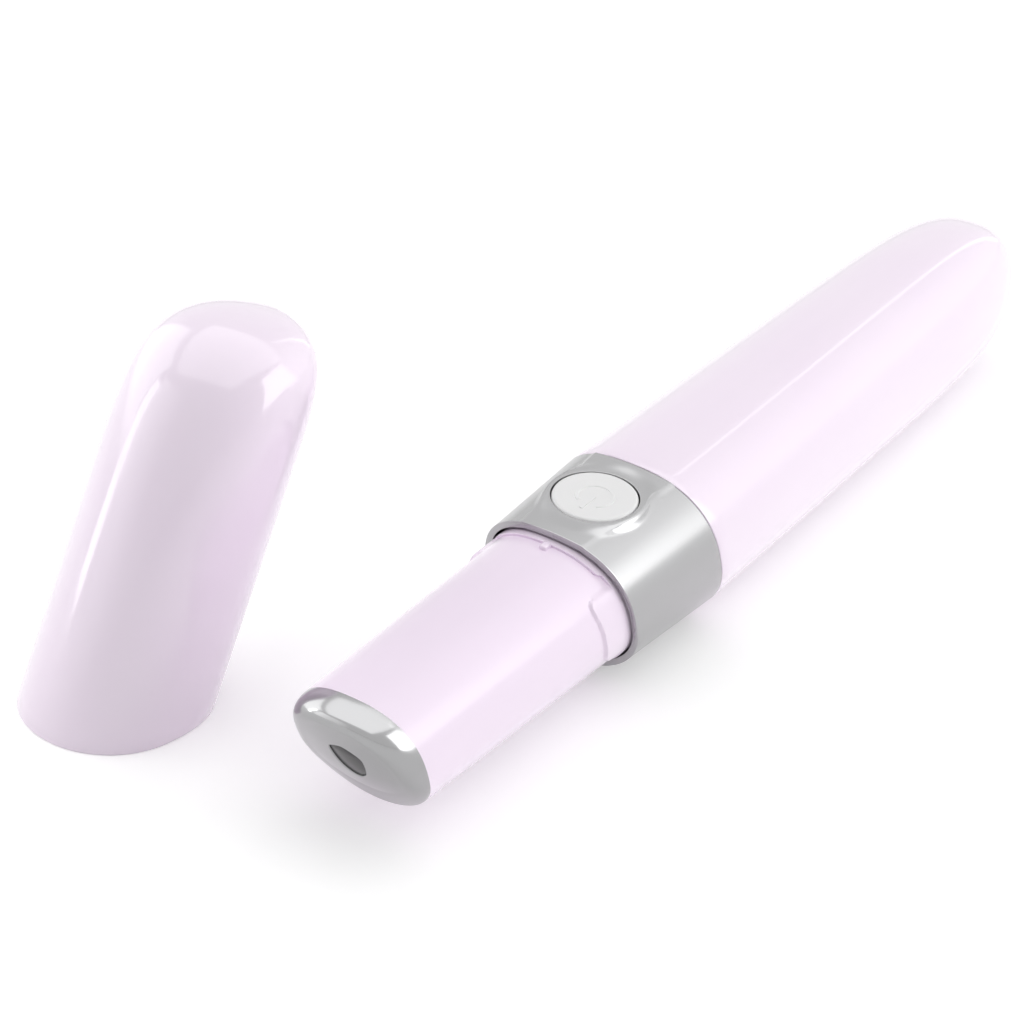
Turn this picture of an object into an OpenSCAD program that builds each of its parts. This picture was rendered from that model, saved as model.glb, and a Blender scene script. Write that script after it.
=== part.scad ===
// Heated eye massager wand with its cap off, lying with the button up.
// The wand lies along Y with its head towards -Y; the cap stands on its mouth beside the head.
// Millimetres. The origin is on the resting surface, in the middle of the footprint.

/* [Body outline] */
// Width of the metal ring at its front edge
ring_width = 21; // [19:0.5:24]
// Height of the button side above the wand's axis
crown_rise = 11.4; // [10.8:0.1:12.4]
// Depth of the underside below the wand's axis
belly_drop = 10.2; // [9.6:0.1:11.2]
// Squareness of the button side, where 2 is an ellipse
crown_power = 2.5; // [2.1:0.1:3]
// Squareness of the underside, where 2 is an ellipse
belly_power = 2; // [2:0.1:2.6]
// Lean of the ring's edges and the cap's mouth, in degrees from square
edge_lean = 20; // [14:1:24]

/* [Metal ring] */
// Length of the ring along the wand
ring_length = 18.2; // [16.5:0.1:22]
// Thickness of the ring
ring_wall = 1; // [0.8:0.05:1.2]
// Growth of the outline from the ring's front edge to its rear edge
ring_flare = 1.07; // [1:0.01:1.1]
// Radius of the ring's rounded edges
ring_edge = 0.35; // [0.2:0.05:0.5]

/* [Handle] */
// Length of the handle from the ring to its tail
handle_length = 91; // [84:1:110]
// Thickness of the handle
handle_wall = 1.4; // [1.2:0.1:1.6]
// Width that the handle narrows to at its tail
tail_width = 18; // [17:0.5:21]
// Bluntness of the tail
tail_power = 12; // [8:1:14]
// Gap between the ring and the handle
seam_gap = 0.15; // [0.1:0.05:0.3]

/* [Head sleeve] */
// Length of the sleeve ahead of the ring, on the axis
sleeve_length = 40.4; // [38:0.2:44]
// Thickness of the sleeve
sleeve_wall = 1.2; // [1:0.1:1.4]
// How much the sleeve draws in on each side at the head
sleeve_draw = 0.6; // [0.3:0.1:1]
// How much more the underside draws in at the head
chin_lift = 1; // [0.5:0.1:1.5]
// Length of the spigot that the handle pushes onto
spigot_length = 7; // [5:0.5:9]
// Running fit between the spigot and the handle
spigot_fit = 0.1; // [0.06:0.02:0.2]
// Rise of the snap ribs that hold the cap
rib_rise = 0.3; // [0.2:0.05:0.4]
// Length of the snap ribs
rib_length = 2.6; // [1.6:0.2:3.4]

/* [Head plate] */
// How far the massage face stands ahead of the sleeve, on the axis
face_rise = 2.3; // [2:0.1:2.8]
// Lean of the massage face, in degrees from square
face_lean = 33; // [28:1:36]
// Width of the rounded border of the massage face
face_border = 2.6; // [2:0.1:3]
// How far the middle of the massage face bulges
face_dome = 0.5; // [0.3:0.1:0.6]
// Thickness of the head plate
plate_wall = 1; // [0.8:0.1:1.2]
// Length of the plate's plug inside the sleeve
plug_length = 2.4; // [1.8:0.2:3]
// Height of the light window
window_height = 7.1; // [6:0.1:7.4]
// Width of the light window
window_width = 4.3; // [3.6:0.1:4.6]

/* [Cap] */
// Length of the cap on the axis
cap_length = 49.6; // [49:0.2:56]
// Thickness of the cap
cap_wall = 1.1; // [0.9:0.05:1.3]
// Gap between the cap and the sleeve
cap_fit = 0.25; // [0.15:0.05:0.35]
// Height of the cap's tip above the axis
tip_rise = 6.6; // [4:0.2:7.6]
// Distance that the cap stands to the left of the wand's axis
cap_aside = 37; // [30:0.5:60]
// Distance that the cap stands ahead of the ring
cap_ahead = 38; // [0:1:60]
// Turn of the standing cap, in degrees
cap_turn = 12; // [-20:1:30]

/* [Button] */
// Diameter of the power button
button_d = 10.3; // [9.4:0.1:11]
// Distance from the ring's front edge to the button, on the axis
button_y = 5.4; // [4.8:0.1:7]
// Gap round the button
button_gap = 0.15; // [0.1:0.05:0.2]
// How far the button stands above its flat pad
button_proud = 0.15; // [0.05:0.05:0.4]
// Width of the flat pad's border round the button
pad_border = 0.8; // [0.6:0.05:0.9]
// Depth of the flat pad below the ring's ridge
pad_depth = 0.15; // [0.05:0.05:0.4]
// Travel of the button
button_travel = 0.4; // [0.25:0.05:0.5]

/* [Circuit board] */
// Height of the board's top face above the wand's axis
board_z = 3; // [2.6:0.1:3.2]
// Thickness of the board
board_t = 1; // [0.8:0.1:1.2]
// Width of the board
board_w = 12; // [11:0.2:12.6]
// Front end of the board, ahead of the ring's front edge
board_front = 15; // [14.5:0.1:16]
// Side of the push switch's case
switch_w = 4.5; // [4:0.1:5]
// Height of the push switch's case
switch_h = 3; // [2.6:0.1:3.2]
// Diameter of the push switch's plunger
plunger_d = 2.4; // [2:0.1:2.6]

/* [Battery] */
// Diameter of the cell
cell_d = 10.5; // [10:0.1:10.8]
// Length of the cell with its nub
cell_l = 44.5; // [43:0.1:45]
// Length of the contact spring when it is pressed
spring_l = 4; // [3.6:0.1:5]
// Diameter of the spring's wire
spring_wire = 0.7; // [0.6:0.05:0.8]
// Number of turns of the spring
spring_turns = 3; // [2:1:4]

/* [Vibration motor] */
// Diameter of the motor's can
motor_d = 6; // [5.5:0.1:6.6]
// Length of the motor's can
motor_l = 11; // [10:0.2:12]
// Diameter of the motor's shaft
shaft_d = 1; // [0.8:0.1:1.2]
// Radius of the eccentric weight
weight_r = 3.2; // [2.6:0.1:3.4]
// Thickness of the eccentric weight
weight_t = 2.8; // [2.4:0.1:3.2]
// Length of the rubber cradle that holds the motor
cradle_length = 6; // [4:0.5:7]

/* [Hidden] */
// Points round each outline of the body
around = 48;
// Facets of the turned parts
$fn = 48;
// Slopes of the leaning planes
lean = tan(edge_lean);
face_slope = tan(face_lean);
// Half the body's width at the ring's front edge
half_w = ring_width / 2;
// Height of the wand's axis above the surface it lies on
axis_h = belly_drop * ring_flare;
// Clearance of glued and moulded-in parts
snug = 0.05;
// Overlap of joined solids, and how far a cut runs past the wall that it opens
bite = 0.1;
overrun = 1;
// Distance from the ring's front edge to the massage face, on the axis
face_reach = sleeve_length + face_rise;

// ---- Colours ----
pearl_lilac = [0.94, 0.89, 0.95];
chrome = [0.7, 0.7, 0.71];
button_white = [0.93, 0.93, 0.93];
smoke = [0.28, 0.28, 0.28];
inner_white = [0.86, 0.86, 0.84];
rubber_grey = [0.3, 0.3, 0.32];
steel = [0.62, 0.63, 0.65];
brass = [0.78, 0.62, 0.32];
board_green = [0.1, 0.38, 0.22];
case_black = [0.12, 0.12, 0.13];
film_amber = [0.8, 0.5, 0.15];
wire_red = [0.7, 0.13, 0.13];
led_yellow = [0.93, 0.85, 0.6];

// ---- Outlines and skins ----
function mix(a, b, t) = a + (b - a) * t;
function curved(v, power) = sign(v) * pow(abs(v), 2 / power);
// Falls from 1 to 0 as t goes from 0 to 1, late and steeply for a high power
function blunt(t, power) = sqrt(max(0, 1 - pow(t, power)));
// A point of the body's outline: flattened on the button side, rounder below
function outline_point(w, top, bottom, a) =
    [w * curved(cos(a), a < 180 ? crown_power : belly_power),
     a < 180 ? top * curved(sin(a), crown_power) : bottom * curved(sin(a), belly_power)];
// The angle of a point of an outline
function turn(i) = i / around * 360;
// The whole outline at y, in a plane that leans by slope, about a centre at height mid
function outline(w, top, bottom, y, slope = lean, mid = 0) =
    [for (i = [0 : around - 1])
        let (p = outline_point(w, top, bottom, turn(i)))
        [p[0], y - (mid + p[1]) * slope, mid + p[1]]];
// The ring's outline, t of the way from its front edge to its rear edge, drawn in by inset
function ring_size(t, inset) =
    let (g = mix(1, ring_flare, t)) [half_w * g - inset, crown_rise * g - inset, belly_drop * g - inset];
function ring_outline(t, inset, y) =
    let (s = ring_size(t, inset)) outline(s[0], s[1], s[2], y);

// A solid through a row of outlines. Its ends are closed, or it runs round from last to first.
module skin(rows, looped = false) {
    n = len(rows[0]);
    m = len(rows);
    sides = [for (j = [0 : looped ? m - 1 : m - 2], i = [0 : n - 1])
        let (k = (j + 1) % m, l = (i + 1) % n)
        each [[j * n + i, j * n + l, k * n + l], [j * n + i, k * n + l, k * n + i]]];
    ends = looped ? [] : [[for (i = [n - 1 : -1 : 0]) i], [for (i = [0 : n - 1]) (m - 1) * n + i]];
    polyhedron(points = [for (r = rows) each r], faces = concat(sides, ends), convexity = 6);
}

// Places a part that is drawn in the wand's own frame: ring front at the origin, tail towards +Y
module on_wand() translate([wand_x, wand_y, axis_h]) children();
// Turns a part so that its Z axis runs along +Y
module along_y() rotate([-90, 0, 0]) children();
// A plate of a given thickness that starts at y = 0, drawn in X and Z
module upright(thickness)
    translate([0, thickness, 0]) rotate([90, 0, 0]) linear_extrude(thickness) children();
// Puts a part in the leaning plane of the massage face, at a depth behind it
module on_face(depth)
    translate([0, -face_reach, 0]) rotate([face_lean, 0, 0]) translate([0, depth, 0]) children();

// ---- Sleeve sizes ----
// How far the sleeve lies inside the body's outline, where the cap goes over it
sleeve_inset = cap_wall + cap_fit;
// The sleeve's outline, t of the way from the ring to the head, with its wall taken off by inset
function sleeve_size(t, inset) =
    let (d = sleeve_inset + sleeve_draw * t + inset)
    [half_w - d, crown_rise - d, belly_drop - d - chin_lift * t];
function sleeve_outline(t, inset, y, slope = lean) =
    let (s = sleeve_size(t, inset)) outline(s[0], s[1], s[2], y, slope);
// The part of the way to the head at which a point of the sleeve lies
function sleeve_t(y) = -y / sleeve_length;
// How far the sleeve lies inside the ring, and the spigot inside the handle
seat_inset = ring_wall + snug;
spigot_inset = handle_wall + spigot_fit;
spigot_end = ring_length + seam_gap + spigot_length;
// Length of the raised collar beside the ring
collar_length = 1.2;
// How the handle's width falls towards the tail
taper_power = 1.3;
// The spigot narrows with the handle, whose sides run straight as far as its second station
first_station = 0.25;
function handle_half_w(t, inset) = mix(ring_size(1, inset)[0], tail_width / 2 - inset, pow(t, taper_power));
socket_slope = (handle_half_w(0, handle_wall) - handle_half_w(first_station, handle_wall))
    / (first_station * (handle_length - handle_wall));
function spigot_outline(inset, y) =
    let (s = ring_size(1, inset))
    outline(s[0] - socket_slope * max(0, y - ring_length - seam_gap), s[1], s[2], y);

// ---- Snap ribs, as a rise that depends on the angle round the sleeve ----
// Angles up from the side between which each of the two ribs runs
rib_from = -18;
rib_to = 48;
function on_rib(a) =
    let (b = a > 270 ? a - 360 : a)
    (b > rib_from && b < rib_to) || (180 - b > rib_from && 180 - b < rib_to) ? 1 : 0;
function ribbed_outline(y, raised) =
    let (s = sleeve_size(sleeve_t(y), 0))
    [for (i = [0 : around - 1])
        let (a = turn(i),
             r = raised ? rib_rise * on_rib(a) : 0,
             p = outline_point(s[0] + r, s[1] + r, s[2] + r, a))
        [p[0], y - p[1] * lean, p[1]]];
// Rear end of the ribs
rib_y = -3.4;

module head_sleeve() color(pearl_lilac) on_wand() difference() {
    union() {
        skin(looped = true, rows = [
            sleeve_outline(1, 0, -sleeve_length),
            ribbed_outline(rib_y - rib_length, false),
            ribbed_outline(rib_y - rib_length + rib_rise, true),
            ribbed_outline(rib_y - rib_rise, true),
            ribbed_outline(rib_y, false),
            sleeve_outline(0, 0, -collar_length),
            ring_outline(0, seat_inset, -collar_length + rib_rise),
            ring_outline(0, seat_inset, 0),
            ring_outline(1, seat_inset, ring_length),
            spigot_outline(spigot_inset, ring_length),
            spigot_outline(spigot_inset, seal_y - seal_groove / 2),
            spigot_outline(spigot_inset + seal_depth, seal_y - seal_groove / 2),
            spigot_outline(spigot_inset + seal_depth, seal_y + seal_groove / 2),
            spigot_outline(spigot_inset, seal_y + seal_groove / 2),
            spigot_outline(spigot_inset, spigot_end),
            spigot_outline(spigot_inset + sleeve_wall, spigot_end),
            spigot_outline(spigot_inset + sleeve_wall, ring_length),
            ring_outline(0, seat_inset + sleeve_wall, 0),
            sleeve_outline(1, sleeve_wall, -sleeve_length)]);
        locating_lug();
    }
    button_well();
    chassis_screw_hole();
}
// Small lug on the button side, beside the collar, that keys the cap
lug_w = 1.3;
lug_l = 1.1;
lug_rise = 0.4;
lug_y = -collar_length - lug_l - sleeve_size(0, 0)[1] * lean;
module locating_lug()
    translate([-lug_w / 2, lug_y, sleeve_size(0, sleeve_wall / 2)[1]])
        cube([lug_w, lug_l + 2 * lug_rise, sleeve_wall / 2 + lug_rise]);

// ---- Rubber seal on the spigot ----
// Thickness of the seal, its groove and where it lies
seal_t = 1;
seal_groove = 1.3;
seal_depth = 0.5;
seal_y = spigot_end - seal_groove;
// Facets of the seal's round section
seal_sides = 8;
// The seal is flattened between the groove's floor and the handle
seal_rise = (seal_depth + spigot_fit) / 2 - snug;
seal_middle = spigot_inset + (seal_depth - spigot_fit) / 2;
module seal_ring() color(rubber_grey) on_wand() skin(looped = true, rows =
    [for (k = [0 : seal_sides - 1])
        let (a = 180 - 360 * k / seal_sides)
        spigot_outline(seal_middle - seal_rise * sin(a), seal_y + seal_t / 2 * cos(a))]);

// ---- Metal ring ----
// A point of the ring's rounded edge, at an angle round it, ahead or behind
function front_edge_row(a) = ring_outline(0, ring_edge * (1 - cos(a)), ring_edge * (1 - sin(a)));
function rear_edge_row(a) =
    ring_outline(1, ring_edge * (1 - cos(a)), ring_length - ring_edge * (1 - sin(a)));
module ring_band() color(chrome) on_wand() difference() {
    union() {
        skin(looped = true, rows = concat(
            [for (a = [90 : -30 : 0]) front_edge_row(a)],
            [for (a = [0 : 30 : 90]) rear_edge_row(a)],
            [ring_outline(1, ring_wall, ring_length), ring_outline(0, ring_wall, 0)]));
        translate([0, button_y, pad_z - pad_rim]) cylinder(d = pad_d, h = pad_rim);
    }
    translate([0, button_y, pad_z]) cylinder(d = pad_d, h = crown_rise);
    translate([0, button_y, 0]) cylinder(d = button_d + 2 * button_gap, h = 2 * crown_rise);
}
// Height of the ring's ridge over the button, and of the flat pad made level there
ridge_z = crown_rise * mix(1, ring_flare, (button_y + crown_rise * lean) / ring_length);
pad_z = ridge_z - pad_depth;
pad_d = button_d + 2 * pad_border;
// Depth of the pad's rim, which ends inside the ring's wall at its sides
pad_rim = 1.7;

// ---- Handle ----
// Stations along a blunt end: straight at first, then closer together as it closes
straight_stations = [0, first_station, 0.5, 0.68];
end_angles = [15, 27, 38, 49, 59, 68, 76, 83, 88];
function stations(power) = concat(straight_stations, [for (a = end_angles) pow(sin(a), 2 / power)]);
function handle_row(t, inset, reach) =
    let (s = ring_size(1, inset), e = blunt(t, tail_power))
    outline(handle_half_w(t, inset) * e, s[1] * e, s[2] * e,
            ring_length + seam_gap + t * reach, lean * (1 - t));
module handle_shell() color(pearl_lilac) on_wand() {
    steps = stations(tail_power);
    last = len(steps) - 1;
    skin(concat(
        [for (i = [last : -1 : 0]) handle_row(steps[i], handle_wall, handle_length - handle_wall)],
        [for (i = [0 : last]) handle_row(steps[i], 0, handle_length)]));
}

// ---- Head plate, its window and what lies behind it ----
// The plate's rounded border: 0 at the sleeve's end, 90 at the face
function plate_row(a) =
    let (s = sleeve_size(1, face_border * (1 - cos(a))))
    [for (i = [0 : around - 1])
        let (p = outline_point(s[0], s[1], s[2], turn(i)))
        [p[0], mix(-sleeve_length - p[1] * lean, -face_reach - p[1] * face_slope, sin(a)), p[1]]];
// Outline in the plane of the face, a share of its full size, at an axial depth
function face_row(share, inset, depth) =
    let (s = sleeve_size(1, inset + face_border))
    outline(s[0] * share, s[1] * share, s[2] * share, -face_reach + depth, face_slope);
// Thickness of the plate along the wand's axis
plate_depth = plate_wall / cos(face_lean);
// Small closing outline at the middle of the face
closing = 0.05;
// Shares of the face at which its bulge has an outline
dome_shares = [closing, 0.25, 0.5, 0.75];
// Outline on the domed face, a share of its full size
function dome_row(share) = face_row(share, 0, -face_dome * (1 - share * share));
module head_plate() color(chrome) on_wand() difference() {
    skin(concat(
        [for (share = dome_shares) dome_row(share)],
        [for (a = [90 : -15 : 0]) plate_row(a)],
        [sleeve_outline(1, sleeve_wall + snug, -sleeve_length),
         sleeve_outline(1, sleeve_wall + snug, -sleeve_length + plug_length),
         sleeve_outline(1, sleeve_wall + snug + plate_wall, -sleeve_length + plug_length),
         face_row(1, plate_wall - face_border + sleeve_wall + snug, plate_depth),
         face_row(closing, plate_wall, plate_depth)]));
    on_face(-plate_wall) upright(3 * plate_wall) window_shape(0);
}
// Leaf outline of the window: pointed above and round below, drawn in by inset
module window_shape(inset) {
    r = window_width / 2 - inset;
    tip = window_height * (1 - window_split) - inset;
    bowl = window_height * window_split - inset;
    translate([0, window_rise]) polygon(concat(
        [for (a = [180 : 15 : 360]) [r * cos(a), bowl * sin(a)]],
        [for (a = [15 : 15 : 75]) [r * pow(cos(a), leaf_power), tip * sin(a)]],
        [[0, tip]],
        [for (a = [75 : -15 : 15]) [-r * pow(cos(a), leaf_power), tip * sin(a)]]));
}
// Share of the window below its widest line, and the sharpness of its tip
window_split = 0.74;
leaf_power = 1.6;
// Height of the window's widest line above the axis
window_rise = 2.65;
// Depth of the window behind the flat of the face, which its bulge leaves sunk
window_sink = -0.1;
module window_lens() color(smoke) on_wand()
    on_face(window_sink) upright(plate_wall - window_sink) window_shape(snug);

// Layers behind the face: the heater film, then the foam pad that presses it on
film_t = 0.2;
foam_t = 1;
// Gap between the layers and the plate's plug
layer_fit = 0.3;
layer_inset = sleeve_wall + snug + plate_wall + layer_fit;
function layer_row(depth) =
    let (s = sleeve_size(1, layer_inset))
    outline(s[0], s[1], s[2], -face_reach + depth / cos(face_lean), face_slope);
// Pocket through the layers for the light
led_w = 2;
led_h = 3;
led_t = 1;
module led_pocket() on_face(0) translate([-led_w / 2 - snug, 0, -led_h / 2 - snug])
    cube([led_w + 2 * snug, plate_wall + film_t + foam_t + overrun, led_h + 2 * snug]);
module heater_film() color(film_amber) on_wand() difference() {
    skin([layer_row(plate_wall + snug), layer_row(plate_wall + snug + film_t)]);
    led_pocket();
}
foam_front = plate_wall + 2 * snug + film_t;
module foam_pad() color(rubber_grey) on_wand() difference() {
    skin([layer_row(foam_front), layer_row(foam_front + foam_t)]);
    led_pocket();
    on_face(bead_depth) translate([bead_x, 0, 0]) sphere(d = bead_d + 2 * snug);
}
module indicator_led() color(led_yellow) on_wand()
    on_face(plate_wall + snug) translate([-led_w / 2, 0, -led_h / 2]) cube([led_w, led_t, led_h]);
// Bead that senses the plate's heat
bead_d = 1;
bead_x = 3.6;
bead_depth = foam_front + bead_d / 2;
module thermistor() color(case_black) on_wand()
    on_face(bead_depth) translate([bead_x, 0, 0]) sphere(d = bead_d);

// ---- Vibration motor ----
// Axial room kept between the foam and the weight, and between the weight and the can
weight_gap = 1.1;
can_gap = 0.6;
layers_rear = -face_reach + (plate_wall + film_t + foam_t + 3 * snug) / cos(face_lean);
weight_front = layers_rear + weight_r * face_slope + weight_gap;
motor_front = weight_front + weight_t + can_gap;
motor_rear = motor_front + motor_l;
// Depth of the shaft inside the can
shaft_seat = 2;
// Bearing boss on the can's front
bearing_d = 2.4;
bearing_rise = 0.3;
module motor_can() color(steel) on_wand() translate([0, motor_front, 0]) along_y() difference() {
    union() {
        cylinder(d = motor_d, h = motor_l);
        translate([0, 0, -bearing_rise]) cylinder(d = bearing_d, h = bearing_rise + bite);
    }
    translate([0, 0, -overrun]) cylinder(d = shaft_d + 2 * snug, h = shaft_seat + overrun + snug);
}
module motor_shaft() color(steel) on_wand()
    translate([0, weight_front, 0]) along_y() cylinder(d = shaft_d, h = weight_t + can_gap + shaft_seat);
module eccentric_weight() color(brass) on_wand()
    translate([0, weight_front, 0]) along_y() difference() {
    intersection() {
        cylinder(r = weight_r, h = weight_t);
        translate([-weight_r, -shaft_d, 0]) cube([2 * weight_r, 2 * weight_r, weight_t]);
    }
    translate([0, 0, -overrun]) cylinder(d = shaft_d, h = weight_t + 2 * overrun);
}
// Rubber cradle that fills the sleeve round the motor, behind the can's front
cradle_setback = 3;
cradle_front = motor_front + cradle_setback;
function cradle_row(y) = sleeve_outline(sleeve_t(y), sleeve_wall + snug, y);
module motor_cradle() color(rubber_grey) on_wand() difference() {
    skin([cradle_row(cradle_front), cradle_row(cradle_front + cradle_length)]);
    translate([0, motor_front - motor_l, 0]) along_y() cylinder(d = motor_d + 2 * snug, h = 3 * motor_l);
    for (side = [-1, 1]) translate([side * heater_wire_x, motor_front - motor_l, heater_wire_z])
        along_y() cylinder(d = wire_d + 2 * wire_fit, h = 3 * motor_l);
}

// ---- Power button and its switch ----
button_top = pad_z + button_proud;
// The flange that keeps the button in the ring lies under the ring's wall
flange_border = 0.8;
flange_d = button_d + 2 * flange_border;
flange_t = 0.7;
flange_gap = 0.15;
function crown_height(x, w, top) = top * pow(1 - pow(x / w, crown_power), 1 / crown_power);
flange_top = crown_height(flange_d / 2, half_w - ring_wall, crown_rise - ring_wall) - flange_gap;
// Height of the plunger above the switch's case
plunger_rise = 0.8;
stem_d = 3;
stem_bottom = board_z + switch_h + plunger_rise;
// Rounding of the button's rim
button_round = 0.5;
// Raised power symbol: an open ring with a stroke
symbol_r = 2.2;
symbol_w = 0.5;
symbol_rise = 0.15;
symbol_gap = 70;
symbol_turn = 35;
// The stroke starts at this share of the symbol's radius
stroke_start = 0.35;
// A point of the button's rounded rim
function button_rim(a) =
    [button_d / 2 - button_round * (1 - cos(a)), button_top - button_round * (1 - sin(a))];
module power_button() color(button_white) on_wand() translate([0, button_y, 0]) {
    rotate_extrude() polygon(concat(
        [[0, stem_bottom + snug], [stem_d / 2, stem_bottom + snug], [stem_d / 2, flange_top - flange_t],
         [flange_d / 2, flange_top - flange_t], [flange_d / 2, flange_top], [button_d / 2, flange_top]],
        [for (a = [0 : 22.5 : 90]) button_rim(a)],
        [[0, button_top]]));
    translate([0, 0, button_top - bite]) rotate(symbol_turn) {
        rotate(90 + symbol_gap / 2) rotate_extrude(angle = 360 - symbol_gap)
            translate([symbol_r - symbol_w / 2, 0]) square([symbol_w, symbol_rise + bite]);
        translate([-symbol_w / 2, symbol_r * stroke_start, 0])
            cube([symbol_w, symbol_r, symbol_rise + bite]);
    }
}
// Hole in the sleeve that leaves room for the button's flange and the pad
well_gap = 0.4;
module button_well()
    translate([0, button_y, 0]) cylinder(d = max(flange_d, pad_d) + 2 * well_gap, h = 2 * crown_rise);
// Thickness of the switch's floor, under its plunger
switch_floor = 1;
plunger_low = switch_floor + button_travel + snug;
module switch_case() color(case_black) on_wand() difference() {
    translate([-switch_w / 2, button_y - switch_w / 2, board_z]) cube([switch_w, switch_w, switch_h]);
    translate([0, button_y, board_z + switch_floor]) cylinder(d = plunger_d + 2 * snug, h = switch_h);
}
module switch_plunger() color(inner_white) on_wand()
    translate([0, button_y, board_z + plunger_low])
        cylinder(d = plunger_d, h = switch_h + plunger_rise - plunger_low);

// ---- Circuit board ----
// The board ends this far ahead of the ring's rear edge
board_setback = 1.2;
board_rear = ring_length - board_setback;
board_under = board_z - board_t;
// Distance of the screws from the board's front and rear ends
front_margin = 3;
rear_margin = 2.4;
screw_y = [-board_front + front_margin, board_rear - rear_margin];
// Shank and head of the small self-tapping screws
screw_d = 1.6;
screw_head_d = 3;
screw_head_h = 1.1;
screw_l = 4;
// Cross slot in a screw's head
slot_l = 1.8;
slot_w = 0.4;
slot_depth = 0.5;
module main_board() color(board_green) on_wand() difference() {
    translate([-board_w / 2, -board_front, board_under])
        cube([board_w, board_front + board_rear, board_t]);
    for (y = screw_y) translate([0, y, board_under - overrun])
        cylinder(d = screw_d + 4 * snug, h = board_t + 2 * overrun);
}
module board_screws() color(steel) on_wand()
    for (y = screw_y) translate([0, y, board_z]) screw(screw_head_h, screw_l);
// A screw whose head sits on z = 0, with its shank below
module screw(head_h, length) difference() {
    union() {
        cylinder(d = screw_head_d, h = head_h);
        translate([0, 0, -length]) cylinder(d = screw_d, h = length + bite);
    }
    for (a = [0, 90]) rotate(a) translate([-slot_l / 2, -slot_w / 2, head_h - slot_depth])
        cube([slot_l, slot_w, slot_depth + overrun]);
}
// Chip ahead of the switch
chip_w = 5;
chip_h = 1;
chip_y = -2.8;
module controller_chip() color(case_black) on_wand()
    translate([-chip_w / 2, chip_y - chip_w, board_z]) cube([chip_w, chip_w, chip_h]);
// Round capacitor and square coil on each side of the front screw
capacitor_d = 4;
capacitor_h = 3.8;
capacitor_foot = 0.5;
coil_w = 4;
coil_h = 2.4;
// Their distance from the board's side edges, and from the screw to their middle
edge_margin = 0.2;
part_setback = 0.4;
part_y = screw_y[0] + part_setback;
module storage_capacitor() color(steel) on_wand()
    translate([-board_w / 2 + edge_margin + capacitor_d / 2, part_y, board_z]) {
        translate([-capacitor_d / 2, -capacitor_d / 2, 0]) cube([capacitor_d, capacitor_d, capacitor_foot]);
        cylinder(d = capacitor_d - edge_margin, h = capacitor_h);
    }
module boost_coil() color(case_black) on_wand()
    translate([board_w / 2 - edge_margin - coil_w, part_y - coil_w / 2, board_z])
        cube([coil_w, coil_w, coil_h]);

// ---- Chassis: board tray, bulkhead and battery cradle ----
// Height of the posts that the board rests on
post_h = 3;
post_d = 4;
tray_floor = board_under - post_h;
tray_t = 1;
rail_t = 1.2;
// The bulkhead closes the spigot, this far behind the ring
bulkhead_setback = 1.6;
bulkhead_t = 2.4;
bulkhead_y = ring_length + bulkhead_setback;
// How far the chassis's walls run into each other
lap = 1;
tray_l = board_front + bulkhead_y + lap;
// The battery's front stop, behind a short cup, and the cradle behind it
cup_length = 2.4;
cell_y = bulkhead_y + bulkhead_t + cup_length;
contact_t = 0.3;
cell_front = cell_y + contact_t;
cell_rear = cell_front + cell_l;
cell_fit = 0.15;
cradle_t = 1;
cradle_in = cell_d / 2 + cell_fit;
cradle_out = cradle_in + cradle_t;
cradle_rear = cell_rear + spring_l + contact_t;
end_wall_t = 1.5;
// The cradle is open above this height
cradle_rim = 2.4;
module chassis() color(inner_white) on_wand() difference() {
    union() {
        translate([-board_w / 2, -board_front, tray_floor]) cube([board_w, tray_l, tray_t]);
        for (side = [-1, 1])
            translate([side * (board_w - rail_t) / 2 - rail_t / 2, -board_front, tray_floor])
                cube([rail_t, tray_l, post_h]);
        for (y = screw_y) translate([0, y, tray_floor]) cylinder(d = post_d, h = post_h);
        skin([bulkhead_row(bulkhead_y), bulkhead_row(bulkhead_y + bulkhead_t)]);
        translate([0, bulkhead_y + lap, 0]) along_y()
            cylinder(r = cradle_out, h = cell_y - bulkhead_y - lap);
        battery_cradle();
    }
    for (y = screw_y) translate([0, y, tray_floor - overrun])
        cylinder(d = screw_d + 2 * snug, h = post_h + 2 * overrun);
    // Slots for the return strip: under the cradle, up to the board and up to the spring's plate
    strip_slot(0, cradle_rear + end_wall_t + overrun, strip_t);
    strip_slot(leg_y, strip_t, board_under - strip_z);
    strip_slot(cradle_rear - contact_t, contact_t, -strip_z);
    chassis_screw_hole();
}
function bulkhead_row(y) = spigot_outline(spigot_inset + sleeve_wall + 2 * snug, y);
module battery_cradle() difference() {
    translate([0, cell_y - lap, 0]) along_y()
        cylinder(r = cradle_out, h = cradle_rear + end_wall_t - cell_y + lap);
    translate([0, cell_y, 0]) along_y() cylinder(r = cradle_in, h = cradle_rear - cell_y);
    translate([-cradle_out, cell_y, cradle_rim])
        cube([2 * cradle_out, cradle_rear - cell_y, cradle_out]);
}
module strip_slot(y, length, height)
    translate([-strip_w / 2 - snug, y - snug, strip_z - snug])
        cube([strip_w + 2 * snug, length + 2 * snug, height + 2 * snug]);
// Screw from below, through the spigot into the bulkhead
chassis_screw_z = -ring_size(1, spigot_inset)[2] - snug;
chassis_screw_y = bulkhead_y + bulkhead_t / 2 - chassis_screw_z * lean;
chassis_screw_l = 2.4;
chassis_head_h = 0.7;
// Depth of the hole that sinks its head, and the room round the head
countersink = 0.9;
head_fit = 0.3;
module chassis_screw_hole() translate([0, chassis_screw_y, chassis_screw_z]) {
    translate([0, 0, -overrun]) cylinder(d = screw_head_d + head_fit, h = countersink + overrun);
    cylinder(d = screw_d + 2 * snug, h = countersink + chassis_screw_l + overrun);
}
module chassis_screw() color(steel) on_wand()
    translate([0, chassis_screw_y, chassis_screw_z + countersink - snug])
        mirror([0, 0, 1]) screw(chassis_head_h, chassis_screw_l);

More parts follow.
